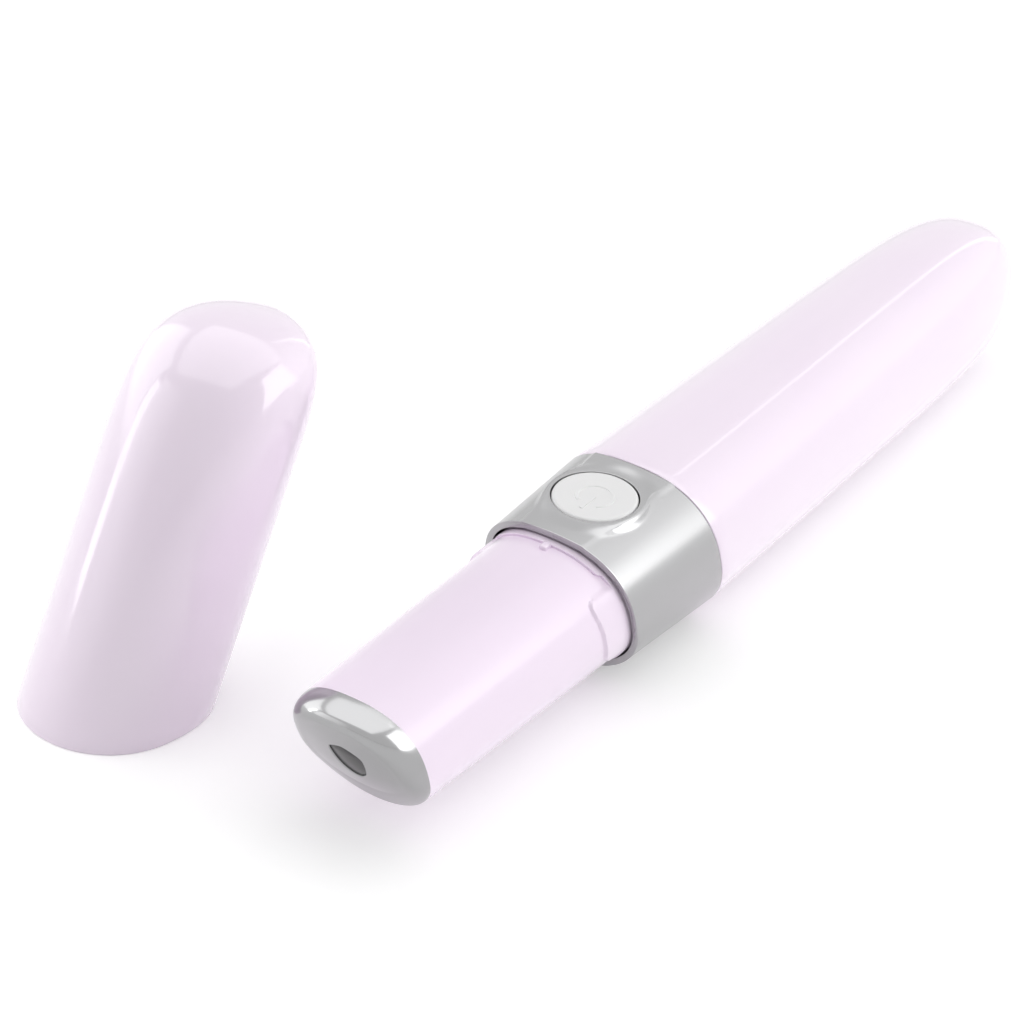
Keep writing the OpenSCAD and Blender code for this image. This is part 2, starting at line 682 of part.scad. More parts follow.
// ---- Battery and its contacts ----
nub_d = 3.8;
nub_l = 0.8;
contact_d = 6;
module battery_cell() color(case_black) on_wand() translate([0, cell_front, 0]) along_y() {
    cylinder(d = nub_d, h = nub_l + lap);
    translate([0, 0, nub_l]) cylinder(d = cell_d, h = cell_l - nub_l);
}
module front_contact() color(steel) on_wand()
    translate([0, cell_y, 0]) along_y() cylinder(d = contact_d, h = contact_t);
// Strip from the spring's plate, under the cradle, up to the board
strip_w = 3;
strip_t = 0.3;
// Room between the cell and the strip, and between the strip's leg and the board's end
strip_gap = 0.5;
leg_margin = 0.4;
strip_z = -cradle_in - strip_gap;
leg_y = board_rear - strip_t - leg_margin;
// Border of the spring's plate round the spring
plate_border = 0.6;
module return_strip() color(steel) on_wand() {
    translate([-strip_w / 2, leg_y, strip_z]) cube([strip_w, cradle_rear - leg_y, strip_t]);
    translate([-strip_w / 2, leg_y, strip_z]) cube([strip_w, strip_t, board_under - strip_z]);
    translate([-strip_w / 2, cradle_rear - contact_t, strip_z]) cube([strip_w, contact_t, -strip_z]);
    translate([0, cradle_rear - contact_t, 0]) along_y()
        cylinder(r = spring_big + plate_border, h = contact_t);
}
// Round tube along a row of points, one ring of sides at each point, square to the path
function unit(v) = v / norm(v);
function heading(path, i) = unit(path[min(i + 1, len(path) - 1)] - path[max(i - 1, 0)]);
function tube_ring(c, dir, r, sides) =
    let (ref = abs(dir[2]) > 0.9 ? [1, 0, 0] : [0, 0, 1], u = unit(cross(ref, dir)), v = cross(dir, u))
    [for (k = [0 : sides - 1]) let (a = -360 * k / sides) c + r * (u * cos(a) + v * sin(a))];
module tube(path, d, sides = 8)
    skin([for (i = [0 : len(path) - 1]) tube_ring(path[i], heading(path, i), d / 2, sides)]);
// The spring widens from the cell to its plate
spring_small = 2.2;
spring_big = 3.6;
steps_per_turn = 12;
spring_steps = spring_turns * steps_per_turn;
spring_sides = 6;
// First and last place of the wire's middle, clear of the cell and of the plate
spring_start = cell_rear + spring_wire / 2 + snug;
spring_end = cradle_rear - contact_t - spring_wire / 2 - snug;
function spring_point(t) =
    let (a = spring_turns * t * 360, r = mix(spring_small, spring_big, t))
    [r * cos(a), mix(spring_start, spring_end, t), r * sin(a)];
module contact_spring() color(steel) on_wand()
    tube([for (i = [0 : spring_steps]) spring_point(i / spring_steps)], spring_wire, spring_sides);

// ---- Wires from the board to the motor and the heater ----
wire_d = 0.8;
// Room round the wires that pass through the motor's cradle
wire_fit = 0.15;
// Places of the wires: two end at the motor, and two run beside it to the heater
motor_wire_x = 1.6;
motor_wire_z = 1;
heater_wire_x = 4.4;
heater_wire_z = 3.6;
// Straight end of each wire
wire_end = 1.1;
wire_board_y = -board_front - 2 * snug;
wire_board_z = board_z - board_t / 2;
heater_end = layers_rear - heater_wire_z * face_slope + wire_d;
// A wire that starts at a place ahead of the board and bends once behind the motor
module lead(x, start, z) tube([
    [x, start, z],
    [x, motor_rear + wire_end, z],
    [x, wire_board_y - wire_end, wire_board_z],
    [x, wire_board_y, wire_board_z]], wire_d);
module lead_wires() color(wire_red) on_wand() for (side = [-1, 1]) {
    lead(side * motor_wire_x, motor_rear + snug, motor_wire_z);
    lead(side * heater_wire_x, heater_end, heater_wire_z);
}

// ---- Cap ----
// Bluntness of the cap's tip, at its sides and crown and along its underside
cap_side_power = 14;
cap_belly_power = 10;
// The bead inside the mouth that clicks over the ribs
bead_rise = 0.12;
bead_length = 1.2;
bead_ramp = 0.24;
// Least height of a closing outline
least_rise = 0.01;
function cap_row(t, inset, reach) =
    let (w = (half_w - inset) * blunt(t, cap_side_power),
         e = blunt(t, cap_belly_power),
         mid = tip_rise * (1 - e),
         top = tip_rise + (crown_rise - inset - tip_rise) * blunt(t, cap_side_power))
    outline(w, max(top - mid, least_rise), (belly_drop - inset) * e, -t * reach, lean * (1 - t), mid);
module cap_body() {
    steps = stations(cap_belly_power);
    last = len(steps) - 1;
    reach = cap_length - cap_wall;
    skin(concat(
        [for (i = [last : -1 : 1]) cap_row(steps[i], 0, cap_length)],
        [cap_row(0, 0, cap_length), cap_row(0, cap_wall - bead_rise, reach)],
        [for (d = [rib_length, rib_length + bead_length]) cap_row(d / reach, cap_wall - bead_rise, reach)],
        [cap_row((rib_length + bead_length + bead_ramp) / reach, cap_wall, reach)],
        [for (i = [1 : last]) cap_row(steps[i], cap_wall, reach)]));
}
// Stands a part of the cap on its mouth beside the wand
module standing() translate([wand_x - cap_aside, wand_y - cap_ahead, 0])
    rotate([0, 0, -cap_turn]) rotate([-90 - edge_lean, 0, 0]) children();
module cap() color(pearl_lilac) standing() cap_body();

// ---- Place of the wand, so that the origin is in the middle of the footprint ----
// A point of the cap, as it stands, measured from the ring's front
function stood(p) =
    let (u = [p[0], p[1] * -sin(edge_lean) + p[2] * cos(edge_lean)])
    [u[0] * cos(cap_turn) + u[1] * sin(cap_turn) - cap_aside,
     -u[0] * sin(cap_turn) + u[1] * cos(cap_turn) - cap_ahead];
cap_points = [for (t = stations(cap_belly_power)) for (p = cap_row(t, 0, cap_length)) stood(p)];
plate_points = [for (a = [0 : 15 : 90]) each plate_row(a)];
left_end = min([for (p = cap_points) p[0]]);
right_end = max(half_w * ring_flare, max([for (p = cap_points) p[0]]));
front_end = min(min([for (p = cap_points) p[1]]), min([for (p = plate_points) p[1]]));
rear_end = ring_length + seam_gap + handle_length;
wand_x = -(left_end + right_end) / 2;
wand_y = -(front_end + rear_end) / 2;

handle_shell();
ring_band();
head_sleeve();
seal_ring();
head_plate();
window_lens();
indicator_led();
heater_film();
foam_pad();
thermistor();
motor_can();
motor_shaft();
eccentric_weight();
motor_cradle();
power_button();
switch_case();
switch_plunger();
main_board();
controller_chip();
storage_capacitor();
boost_coil();
board_screws();
chassis();
chassis_screw();
battery_cell();
front_contact();
contact_spring();
return_strip();
lead_wires();
cap();
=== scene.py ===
"""Looks of a heated eye massager wand with its cap off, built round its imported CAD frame.

The wand lies along Y with its head towards -Y, and the cap stands on its slanted mouth beside it.
Everything is in metres, in the frame's own axes.
"""

from __future__ import annotations

import logging
import math
from dataclasses import dataclass, field
from enum import Enum
from typing import Iterable, Optional, Sequence

import bmesh
import bpy
from mathutils import Matrix, Vector

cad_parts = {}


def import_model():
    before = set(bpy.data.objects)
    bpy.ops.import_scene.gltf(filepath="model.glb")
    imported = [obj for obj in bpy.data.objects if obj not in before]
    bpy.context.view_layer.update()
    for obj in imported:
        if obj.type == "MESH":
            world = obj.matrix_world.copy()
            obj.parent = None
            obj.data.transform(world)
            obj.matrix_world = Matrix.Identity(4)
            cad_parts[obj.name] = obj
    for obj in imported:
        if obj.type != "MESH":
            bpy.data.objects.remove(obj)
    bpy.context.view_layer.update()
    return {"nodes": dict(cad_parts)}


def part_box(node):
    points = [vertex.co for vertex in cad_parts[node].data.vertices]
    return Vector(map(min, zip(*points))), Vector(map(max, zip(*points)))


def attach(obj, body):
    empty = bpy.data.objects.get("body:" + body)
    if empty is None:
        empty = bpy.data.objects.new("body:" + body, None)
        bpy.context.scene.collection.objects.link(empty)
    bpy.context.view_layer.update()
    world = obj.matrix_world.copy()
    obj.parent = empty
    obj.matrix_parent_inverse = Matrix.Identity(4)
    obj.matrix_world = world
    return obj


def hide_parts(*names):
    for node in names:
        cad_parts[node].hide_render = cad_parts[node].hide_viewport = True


LOG = logging.getLogger("wand")
MM = 0.001
# Points round each smooth outline
AROUND = 256


# ---------------------------------------------------------------- numbers and curves
def mix(a: float, b: float, t: float) -> float:
    """Returns the value t of the way from a to b."""
    return a + (b - a) * t


def smooth(t: float) -> float:
    """Returns t eased at both ends, held between 0 and 1."""
    t = min(1.0, max(0.0, t))
    return t * t * (3.0 - 2.0 * t)


def smoother(t: float) -> float:
    """Returns t eased more gently at both ends, held between 0 and 1."""
    t = min(1.0, max(0.0, t))
    return t * t * t * (t * (6.0 * t - 15.0) + 10.0)


def curved(value: float, power: float) -> float:
    """Returns a sine or cosine bent towards a superellipse of that power."""
    return math.copysign(abs(value) ** (2.0 / power), value)


def blunt(t: float, power: float) -> float:
    """Returns a value that falls from 1 to 0, late and steeply for a high power."""
    return math.sqrt(max(0.0, 1.0 - t**power))


def srgb(code: str) -> tuple[float, float, float, float]:
    """Turns an sRGB hex colour into a linear one.

    Args:
        code: six hex digits, such as "efe3f1".

    Returns:
        Linear red, green and blue, and an alpha of 1.
    """
    parts = [int(code[i : i + 2], 16) / 255.0 for i in (0, 2, 4)]
    linear = [c / 12.92 if c <= 0.04045 else ((c + 0.055) / 1.055) ** 2.4 for c in parts]
    return (*linear, 1.0)


# ---------------------------------------------------------------- the body's form
@dataclass(frozen=True)
class Form:
    """The driving sizes that the wand's pieces share, in metres."""

    half_width: float = 10.5 * MM
    crown: float = 11.4 * MM
    belly: float = 10.2 * MM
    crown_power: float = 2.5
    belly_power: float = 2.0
    lean: float = math.tan(math.radians(20.0))
    flare: float = 1.07
    ring_length: float = 18.2 * MM
    ring_wall: float = 1.0 * MM
    seam: float = 0.15 * MM
    handle_length: float = 91.0 * MM
    handle_wall: float = 1.4 * MM
    tail_half_width: float = 9.0 * MM
    tail_power: float = 12.0
    taper_power: float = 1.3
    sleeve_length: float = 40.4 * MM
    sleeve_wall: float = 1.2 * MM
    sleeve_draw: float = 0.6 * MM
    chin_lift: float = 1.0 * MM
    cap_wall: float = 1.1 * MM
    cap_fit: float = 0.25 * MM
    cap_length: float = 49.58 * MM
    tip_rise: float = 6.6 * MM
    face_reach: float = 42.7 * MM
    face_slope: float = math.tan(math.radians(33.0))
    face_border: float = 2.6 * MM
    button_y: float = 5.4 * MM
    button_radius: float = 5.15 * MM
    button_gap: float = 0.15 * MM

    def angle(self, index: int) -> float:
        """Returns the angle of a point round an outline, in radians."""
        return math.tau * index / AROUND

    def outline(
        self,
        width: float,
        top: float,
        bottom: float,
        y: float,
        slope: Optional[float] = None,
        middle: float = 0.0,
    ) -> list[Vector]:
        """Works out one outline of the body, in a plane that leans.

        Args:
            width: half the outline's width.
            top: its height above its middle.
            bottom: its depth below its middle.
            y: where its plane crosses the axis.
            slope: the tangent of the plane's lean; the ring's own lean if none is given.
            middle: height of its middle above the axis.

        Returns:
            The outline's points, in the wand's own frame.
        """
        lean = self.lean if slope is None else slope
        points = []
        for index in range(AROUND):
            a = self.angle(index)
            upper = math.sin(a) >= 0.0
            power = self.crown_power if upper else self.belly_power
            x = width * curved(math.cos(a), power)
            z = (top if upper else bottom) * curved(math.sin(a), power)
            points.append(Vector((x, y - (middle + z) * lean, middle + z)))
        return points

    def ring_size(self, t: float, inset: float) -> tuple[float, float, float]:
        """Returns half width, crown and belly of the ring, t of the way to its rear edge."""
        grow = mix(1.0, self.flare, t)
        return (self.half_width * grow - inset, self.crown * grow - inset, self.belly * grow - inset)

    def ring_outline(self, t: float, inset: float, y: float) -> list[Vector]:
        """Returns the ring's outline, drawn in by an inset."""
        return self.outline(*self.ring_size(t, inset), y)

    def sleeve_size(self, t: float, inset: float) -> tuple[float, float, float]:
        """Returns half width, crown and belly of the sleeve, t of the way to the head."""
        drawn = self.cap_wall + self.cap_fit + self.sleeve_draw * t + inset
        return (self.half_width - drawn, self.crown - drawn, self.belly - drawn - self.chin_lift * t)

    def sleeve_outline(self, y: float, inset: float) -> list[Vector]:
        """Returns the sleeve's outline at y, drawn in by an inset."""
        return self.outline(*self.sleeve_size(-y / self.sleeve_length, inset), y)

    def handle_half_width(self, t: float, inset: float) -> float:
        """Returns half the handle's width, t of the way to its tail."""
        return mix(self.ring_size(1.0, inset)[0], self.tail_half_width - inset, t**self.taper_power)

    def ridge_slope(self) -> float:
        """Returns how much the ring's ridge rises along the wand."""
        growth = self.crown * (self.flare - 1.0) / self.ring_length
        return growth / (1.0 - growth * self.lean)

    def crown_point(self, x: float, y: float) -> Vector:
        """Returns the point of the ring's outer skin above x and y, on its button side.

        Args:
            x: sideways place.
            y: place along the wand.

        Returns:
            The point, in the wand's own frame.
        """
        z = self.crown
        for _ in range(6):
            width, top, _belly = self.ring_size((y + z * self.lean) / self.ring_length, 0.0)
            z = top * (1.0 - min(1.0, abs(x) / width) ** self.crown_power) ** (1.0 / self.crown_power)
        return Vector((x, y, z))


FORM = Form()


def stations(power: float, early: Sequence[float], steps: int) -> list[float]:
    """Places stations along a blunt end, closer together as it closes.

    Args:
        power: the bluntness of the end.
        early: stations before the end begins to close.
        steps: number of stations in the closing part.

    Returns:
        Rising shares of the length, from 0 to almost 1.
    """
    start = math.asin(early[-1] ** (power / 2.0))
    closing = [mix(start, math.radians(88.5), (i + 1) / steps) for i in range(steps)]
    return [*early, *(math.sin(a) ** (2.0 / power) for a in closing)]


# ---------------------------------------------------------------- mesh helpers
def loft(
    rows: Sequence[Sequence[Vector]],
    looped: bool = False,
    close_start: bool = False,
    close_end: bool = False,
) -> bmesh.types.BMesh:
    """Makes a skin through a row of outlines, extruding one circle from row to row.

    Args:
        rows: outlines with equal numbers of points.
        looped: joins the last row to the first.
        close_start: closes the first row in a pole.
        close_end: closes the last row in a pole.

    Returns:
        The new mesh.
    """
    mesh = bmesh.new()
    layer = mesh.verts.layers.int.new("place")
    verts = bmesh.ops.create_circle(mesh, segments=len(rows[0]), radius=1.0)["verts"]
    for index, vert in enumerate(verts):
        vert[layer] = index
        vert.co = rows[0][index]
    first = list(mesh.edges)
    edges = list(first)
    for row in rows[1:]:
        grown = bmesh.ops.extrude_edge_only(mesh, edges=edges)["geom"]
        edges = [g for g in grown if isinstance(g, bmesh.types.BMEdge)]
        fresh = {g for g in grown if isinstance(g, bmesh.types.BMVert)}
        for vert in fresh:
            vert.co = row[vert[layer]]
        edges = [e for e in edges if e.verts[0] in fresh and e.verts[1] in fresh]
    if looped:
        bmesh.ops.bridge_loops(mesh, edges=first + edges)
    if close_end:
        close_loop(mesh, edges)
    if close_start:
        close_loop(mesh, first)
    bmesh.ops.recalc_face_normals(mesh, faces=mesh.faces)
    return mesh


def close_loop(mesh: bmesh.types.BMesh, edges: Sequence[bmesh.types.BMEdge]) -> None:
    """Closes a loop of edges with triangles that meet in one pole.

    Args:
        mesh: the mesh that the edges belong to.
        edges: a closed loop of boundary edges.
    """
    grown = bmesh.ops.extrude_edge_only(mesh, edges=list(edges))["geom"]
    tip = [g for g in grown if isinstance(g, bmesh.types.BMVert)]
    centre = sum((v.co for v in tip), Vector()) / len(tip)
    bmesh.ops.pointmerge(mesh, verts=tip, merge_co=centre)


def finish_mesh(
    name: str,
    mesh: bmesh.types.BMesh,
    place: Matrix,
    sharp: float = 35.0,
) -> bpy.types.Object:
    """Turns a bmesh into an object whose place is in its mesh, shaded smooth up to an angle.

    Args:
        name: the piece's name.
        mesh: the bmesh, which is freed.
        place: moves it from its own frame into the row's frame.
        sharp: edges with a wider angle than this, in degrees, stay sharp.

    Returns:
        The linked object.
    """
    soften(mesh, sharp)
    mesh.transform(place)
    data = bpy.data.meshes.new(name)
    mesh.to_mesh(data)
    mesh.free()
    obj = bpy.data.objects.new(name, data)
    bpy.context.scene.collection.objects.link(obj)
    return obj


def soften(mesh: bmesh.types.BMesh, sharp: float) -> None:
    """Shades a mesh smooth, and keeps the edges wider than an angle in degrees sharp.

    Args:
        mesh: what is shaded.
        sharp: edges with a wider angle than this stay sharp.
    """
    mesh.normal_update()
    limit = math.radians(sharp)
    for edge in mesh.edges:
        edge.smooth = len(edge.link_faces) != 2 or edge.calc_face_angle(0.0) < limit
    for face in mesh.faces:
        face.smooth = True


def bake_modifiers(obj: bpy.types.Object) -> bpy.types.Object:
    """Applies an object's modifiers to its mesh.

    Args:
        obj: its modifiers become part of its mesh.

    Returns:
        The same object.
    """
    graph = bpy.context.evaluated_depsgraph_get()
    data = bpy.data.meshes.new_from_object(obj.evaluated_get(graph))
    obj.modifiers.clear()
    old = obj.data
    obj.data = data
    data.name = obj.name
    bpy.data.meshes.remove(old)
    return obj


def drill(obj: bpy.types.Object, cutter: bpy.types.Object, sharp: float) -> None:
    """Cuts one object with another, and removes the cutter.

    Args:
        obj: what is cut.
        cutter: a closed mesh.
        sharp: edges with a wider angle than this, in degrees, stay sharp.
    """
    cut = obj.modifiers.new("cut", "BOOLEAN")
    cut.operation = "DIFFERENCE"
    cut.solver = "EXACT"
    cut.object = cutter
    bake_modifiers(obj)
    data = cutter.data
    bpy.data.objects.remove(cutter)
    bpy.data.meshes.remove(data)
    mesh = bmesh.new()
    mesh.from_mesh(obj.data)
    soften(mesh, sharp)
    mesh.to_mesh(obj.data)
    mesh.free()


def rod(name: str, radius: float, low: Vector, high: Vector, sides: int = 96) -> bpy.types.Object:
    """Makes a closed cylinder between two points.

    Args:
        name: its name.
        radius: its radius.
        low: the middle of one end.
        high: the middle of the other end.
        sides: facets round it.

    Returns:
        The linked cylinder.
    """
    mesh = bmesh.new()
    length = (high - low).length
    bmesh.ops.create_cone(mesh, cap_ends=True, segments=sides, radius1=radius, radius2=radius, depth=length)
    turn = Vector((0.0, 0.0, 1.0)).rotation_difference((high - low).normalized()).to_matrix().to_4x4()
    return finish_mesh(name, mesh, Matrix.Translation((low + high) / 2.0) @ turn)


# ---------------------------------------------------------------- materials
def add_node(
    tree: bpy.types.NodeTree,
    kind: str,
    settings: Optional[dict[str, object]] = None,
    links: Optional[dict[str, bpy.types.NodeSocket]] = None,
) -> bpy.types.Node:
    """Adds one node with its settings and its incoming links.

    Args:
        tree: the material's node tree.
        kind: the node's type name.
        settings: values of its inputs by name, or of its own attributes.
        links: sockets to link to its inputs, by name.

    Returns:
        The new node.
    """
    node = tree.nodes.new(kind)
    for key, value in (settings or {}).items():
        if key in node.inputs.keys():
            node.inputs[key].default_value = value
        else:
            setattr(node, key, value)
    for key, socket in (links or {}).items():
        tree.links.new(socket, node.inputs[key])
    return node


@dataclass(frozen=True)
class Finish:
    """A surface finish: what the material is, and how its face was made."""

    name: str
    colour: str
    roughness: float = 0.3
    metallic: float = 0.0
    ior: float = 1.5
    coat: float = 0.0
    coat_roughness: float = 0.05
    tint: str = ""
    tint_size: float = 12.0 * MM
    grain: float = 0.3 * MM
    grain_depth: float = 0.0
    wear: float = 0.0
    stretch: tuple[float, float, float] = (1.0, 1.0, 1.0)

    def build(self) -> bpy.types.Material:
        """Builds the procedural material, on Object coordinates.

        Returns:
            The new material.
        """
        material = bpy.data.materials.new(self.name)
        material.use_nodes = True
        tree = material.node_tree
        tree.nodes.clear()
        output = add_node(tree, "ShaderNodeOutputMaterial")
        settings: dict[str, object] = {
            "Base Color": srgb(self.colour),
            "Metallic": self.metallic,
            "Roughness": self.roughness,
            "Coat Weight": self.coat,
            "Coat Roughness": self.coat_roughness,
        }
        if self.metallic == 0.0:
            settings["IOR"] = self.ior
        shader = add_node(tree, "ShaderNodeBsdfPrincipled", settings)
        tree.links.new(shader.outputs["BSDF"], output.inputs["Surface"])
        where = add_node(tree, "ShaderNodeTexCoord").outputs["Object"]
        mapping = add_node(tree, "ShaderNodeMapping", {"Scale": self.stretch}, {"Vector": where})
        spread = mapping.outputs["Vector"]
        self.add_tint(tree, shader, where)
        self.add_wear(tree, shader, spread)
        self.add_grain(tree, shader, spread)
        return material

    def add_tint(
        self, tree: bpy.types.NodeTree, shader: bpy.types.Node, where: bpy.types.NodeSocket
    ) -> None:
        """Lets the colour drift a little towards the tint, in soft patches.

        Args:
            tree: the material's node tree.
            shader: the surface shader.
            where: the socket of Object coordinates.
        """
        if not self.tint:
            return
        cloud = add_node(
            tree, "ShaderNodeTexNoise", {"Scale": 1.0 / self.tint_size, "Detail": 2.0}, {"Vector": where}
        )
        blend = add_node(tree, "ShaderNodeMix", {"data_type": "RGBA"})
        blend.inputs[6].default_value = srgb(self.colour)
        blend.inputs[7].default_value = srgb(self.tint)
        tree.links.new(cloud.outputs["Fac"], blend.inputs[0])
        tree.links.new(blend.outputs[2], shader.inputs["Base Color"])

    def add_wear(
        self, tree: bpy.types.NodeTree, shader: bpy.types.Node, spread: bpy.types.NodeSocket
    ) -> None:
        """Varies the roughness a little, as handling does.

        Args:
            tree: the material's node tree.
            shader: the surface shader.
            spread: the socket of stretched coordinates.
        """
        if self.wear == 0.0:
            return
        cloud = add_node(
            tree, "ShaderNodeTexNoise", {"Scale": 0.1 / self.grain, "Detail": 3.0}, {"Vector": spread}
        )
        ramp = add_node(
            tree,
            "ShaderNodeMapRange",
            {"To Min": max(0.02, self.roughness - self.wear), "To Max": self.roughness + self.wear},
            {"Value": cloud.outputs["Fac"]},
        )
        tree.links.new(ramp.outputs["Result"], shader.inputs["Roughness"])

    def add_grain(
        self, tree: bpy.types.NodeTree, shader: bpy.types.Node, spread: bpy.types.NodeSocket
    ) -> None:
        """Gives the surface a fine relief.

        Args:
            tree: the material's node tree.
            shader: the surface shader.
            spread: the socket of stretched coordinates.
        """
        if self.grain_depth == 0.0:
            return
        noise = add_node(
            tree, "ShaderNodeTexNoise", {"Scale": 1.0 / self.grain, "Detail": 4.0}, {"Vector": spread}
        )
        bump = add_node(
            tree,
            "ShaderNodeBump",
            {"Strength": 1.0, "Distance": self.grain_depth},
            {"Height": noise.outputs["Fac"]},
        )
        tree.links.new(bump.outputs["Normal"], shader.inputs["Normal"])


class Look(Enum):
    """The finishes of the wand's pieces."""

    # ABS, polished mould and a pearl lacquer: deep gloss over a milky lilac
    PEARL = Finish(
        "pearl_lacquered_abs", "f5e6f7", roughness=0.2, coat=1.0, coat_roughness=0.07, tint="f7eaf8",
        grain=1.4 * MM, grain_depth=0.002 * MM, wear=0.02,
    )
    # the same ABS without lacquer, a little softer in its shine
    SLEEVE = Finish(
        "satin_moulded_abs", "f5e6f7", roughness=0.27, coat=0.6, coat_roughness=0.16,
        grain=1.2 * MM, grain_depth=0.002 * MM,
    )
    # plated zinc with a satin polish: soft bands and a fine haze
    RING = Finish(
        "satin_plated_zinc", "b0b0b1", roughness=0.24, metallic=1.0, tint="afafb0",
        grain=0.25 * MM, grain_depth=0.0003 * MM, wear=0.02,
    )
    # stainless face, mirror polished
    HEAD = Finish(
        "polished_stainless_steel", "a9a9aa", roughness=0.17, metallic=1.0, tint="a3a3a4",
        grain=0.3 * MM, grain_depth=0.0005 * MM, wear=0.02,
    )
    # white moulded button, fine eggshell texture
    BUTTON = Finish(
        "eggshell_moulded_abs", "efefef", roughness=0.34, tint="eaeaea",
        grain=0.35 * MM, grain_depth=0.004 * MM, wear=0.04,
    )
    # smoked acrylic, moulded: a dark leaf with a dull gloss
    WINDOW = Finish("smoked_acrylic", "161616", roughness=0.22, ior=1.36, tint="1b1b1b",
                    grain=1.0 * MM, grain_depth=0.002 * MM)
    # plain moulded ABS: off-white and matt
    INNER = Finish("natural_moulded_abs", "dcdcd8", roughness=0.5, tint="d2d2ce",
                   grain=0.5 * MM, grain_depth=0.01 * MM, wear=0.05)
    # silicone from a spark-eroded mould: dark, with a soft sheen
    RUBBER = Finish("moulded_silicone_rubber", "2b2b2d", roughness=0.6, tint="343436",
                    grain=0.3 * MM, grain_depth=0.01 * MM, wear=0.05)
    # foam with its cells cut open: no shine at all
    FOAM = Finish("closed_cell_foam", "4b4b50", roughness=0.9, tint="3d3d42",
                  grain=0.25 * MM, grain_depth=0.08 * MM)
    # deep-drawn steel: fine lines along the draw
    STEEL = Finish("drawn_steel", "a5a6a9", roughness=0.3, metallic=1.0, tint="97989b",
                   grain=0.2 * MM, grain_depth=0.002 * MM, wear=0.06, stretch=(1.0, 0.08, 1.0))
    # nickel plate on spring steel: warm and bright
    NICKEL = Finish("nickel_plated_steel", "b9b6ae", roughness=0.22, metallic=1.0, tint="aaa79f",
                    grain=0.2 * MM, grain_depth=0.002 * MM, wear=0.05)
    # zinc plate: cool and slightly cloudy
    ZINC = Finish("zinc_plated_steel", "a9abb0", roughness=0.32, metallic=1.0, tint="98998f",
                  grain=0.15 * MM, grain_depth=0.003 * MM, wear=0.06)
    # pressed and sintered powder: dull, with a fine tooth
    BRASS = Finish("sintered_brass", "b89a5a", roughness=0.42, metallic=1.0, tint="a58748",
                   grain=0.1 * MM, grain_depth=0.006 * MM, wear=0.08)
    # solder mask over glass fibre: deep green with a wet edge
    BOARD = Finish("green_solder_mask", "1c5a38", roughness=0.35, coat=0.3, tint="17492d",
                   grain=0.6 * MM, grain_depth=0.006 * MM, wear=0.05)
    # transfer-moulded epoxy: black, with an even grain
    RESIN = Finish("moulded_epoxy_resin", "1d1d1f", roughness=0.45, tint="262628",
                   grain=0.1 * MM, grain_depth=0.004 * MM, wear=0.05)
    # cast resin lens: pale amber and glossy
    LED = Finish("cast_led_resin", "f0e2a8", roughness=0.15, coat=0.5, tint="ead998",
                 grain=0.4 * MM, grain_depth=0.002 * MM)
    # polyimide film: clear brown with a film gloss
    FILM = Finish("polyimide_film", "b9741e", roughness=0.25, coat=0.3, tint="a5651a",
                  grain=0.5 * MM, grain_depth=0.003 * MM)
    # film shrunk on a steel can: dark and glossy, barely rippled
    JACKET = Finish("shrink_film_on_steel", "3a3d44", roughness=0.2, coat=0.6, tint="33363c",
                    grain=1.2 * MM, grain_depth=0.006 * MM, wear=0.04)
    # extruded PVC: plain red with a low shine
    WIRE = Finish("extruded_pvc", "a8231f", roughness=0.38, tint="98201c",
                  grain=0.2 * MM, grain_depth=0.004 * MM)


class Wardrobe:
    """Keeps each finish's material, so that every piece of a finish shares one."""

    def __init__(self) -> None:
        """Starts with no materials."""
        self.made: dict[Look, bpy.types.Material] = {}

    def material(self, look: Look) -> bpy.types.Material:
        """Returns the look's material, and builds it the first time."""
        if look not in self.made:
            self.made[look] = look.value.build()
        return self.made[look]

    def dress(self, obj: bpy.types.Object, look: Look) -> None:
        """Gives the whole object one look."""
        obj.data.materials.clear()
        obj.data.materials.append(self.material(look))


@dataclass
class Setting:
    """Where the wand and the cap stand in the row's frame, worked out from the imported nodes."""

    wand: Matrix
    standing: Matrix

    @classmethod
    def from_frame(cls) -> "Setting":
        """Reads the wand's axis from the cell and its length from the handle.

        Returns:
            The wand's place and the standing cap's place.
        """
        cell_low, cell_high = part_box("battery_cell")
        _low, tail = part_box("handle_shell")
        middle = (cell_low + cell_high) / 2.0
        ring_y = tail.y - (FORM.ring_length + FORM.seam + FORM.handle_length)
        wand = Matrix.Translation((middle.x, ring_y, middle.z))
        aside, ahead, turn = 37.0 * MM, 38.0 * MM, math.radians(-12.0)
        tilt = -math.pi / 2.0 - math.atan(FORM.lean)
        standing = (
            Matrix.Translation((middle.x - aside, ring_y - ahead, 0.0))
            @ Matrix.Rotation(turn, 4, "Z")
            @ Matrix.Rotation(tilt, 4, "X")
        )
        return cls(wand, standing)


@dataclass
class Builder:
    """Dresses a finished piece, lets it ride on its body and hides the CAD nodes that it stands for."""

    setting: Setting
    wardrobe: Wardrobe

    def hand_over(
        self, obj: bpy.types.Object, look: Look, body: str, slot: str, *nodes: str
    ) -> bpy.types.Object:
        """Dresses a piece, lets it ride and hides the nodes that it replaces.

        Args:
            obj: the finished piece.
            look: its finish.
            body: the body that it rides on.
            slot: the material slot's name; not used.
            nodes: the CAD nodes that it stands for.

        Returns:
            The same piece.
        """
        self.wardrobe.dress(obj, look)
        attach(obj, body)
        if nodes:
            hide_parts(*nodes)
        LOG.info("%s: %d faces on %s", obj.name, len(obj.data.polygons), body)
        return obj


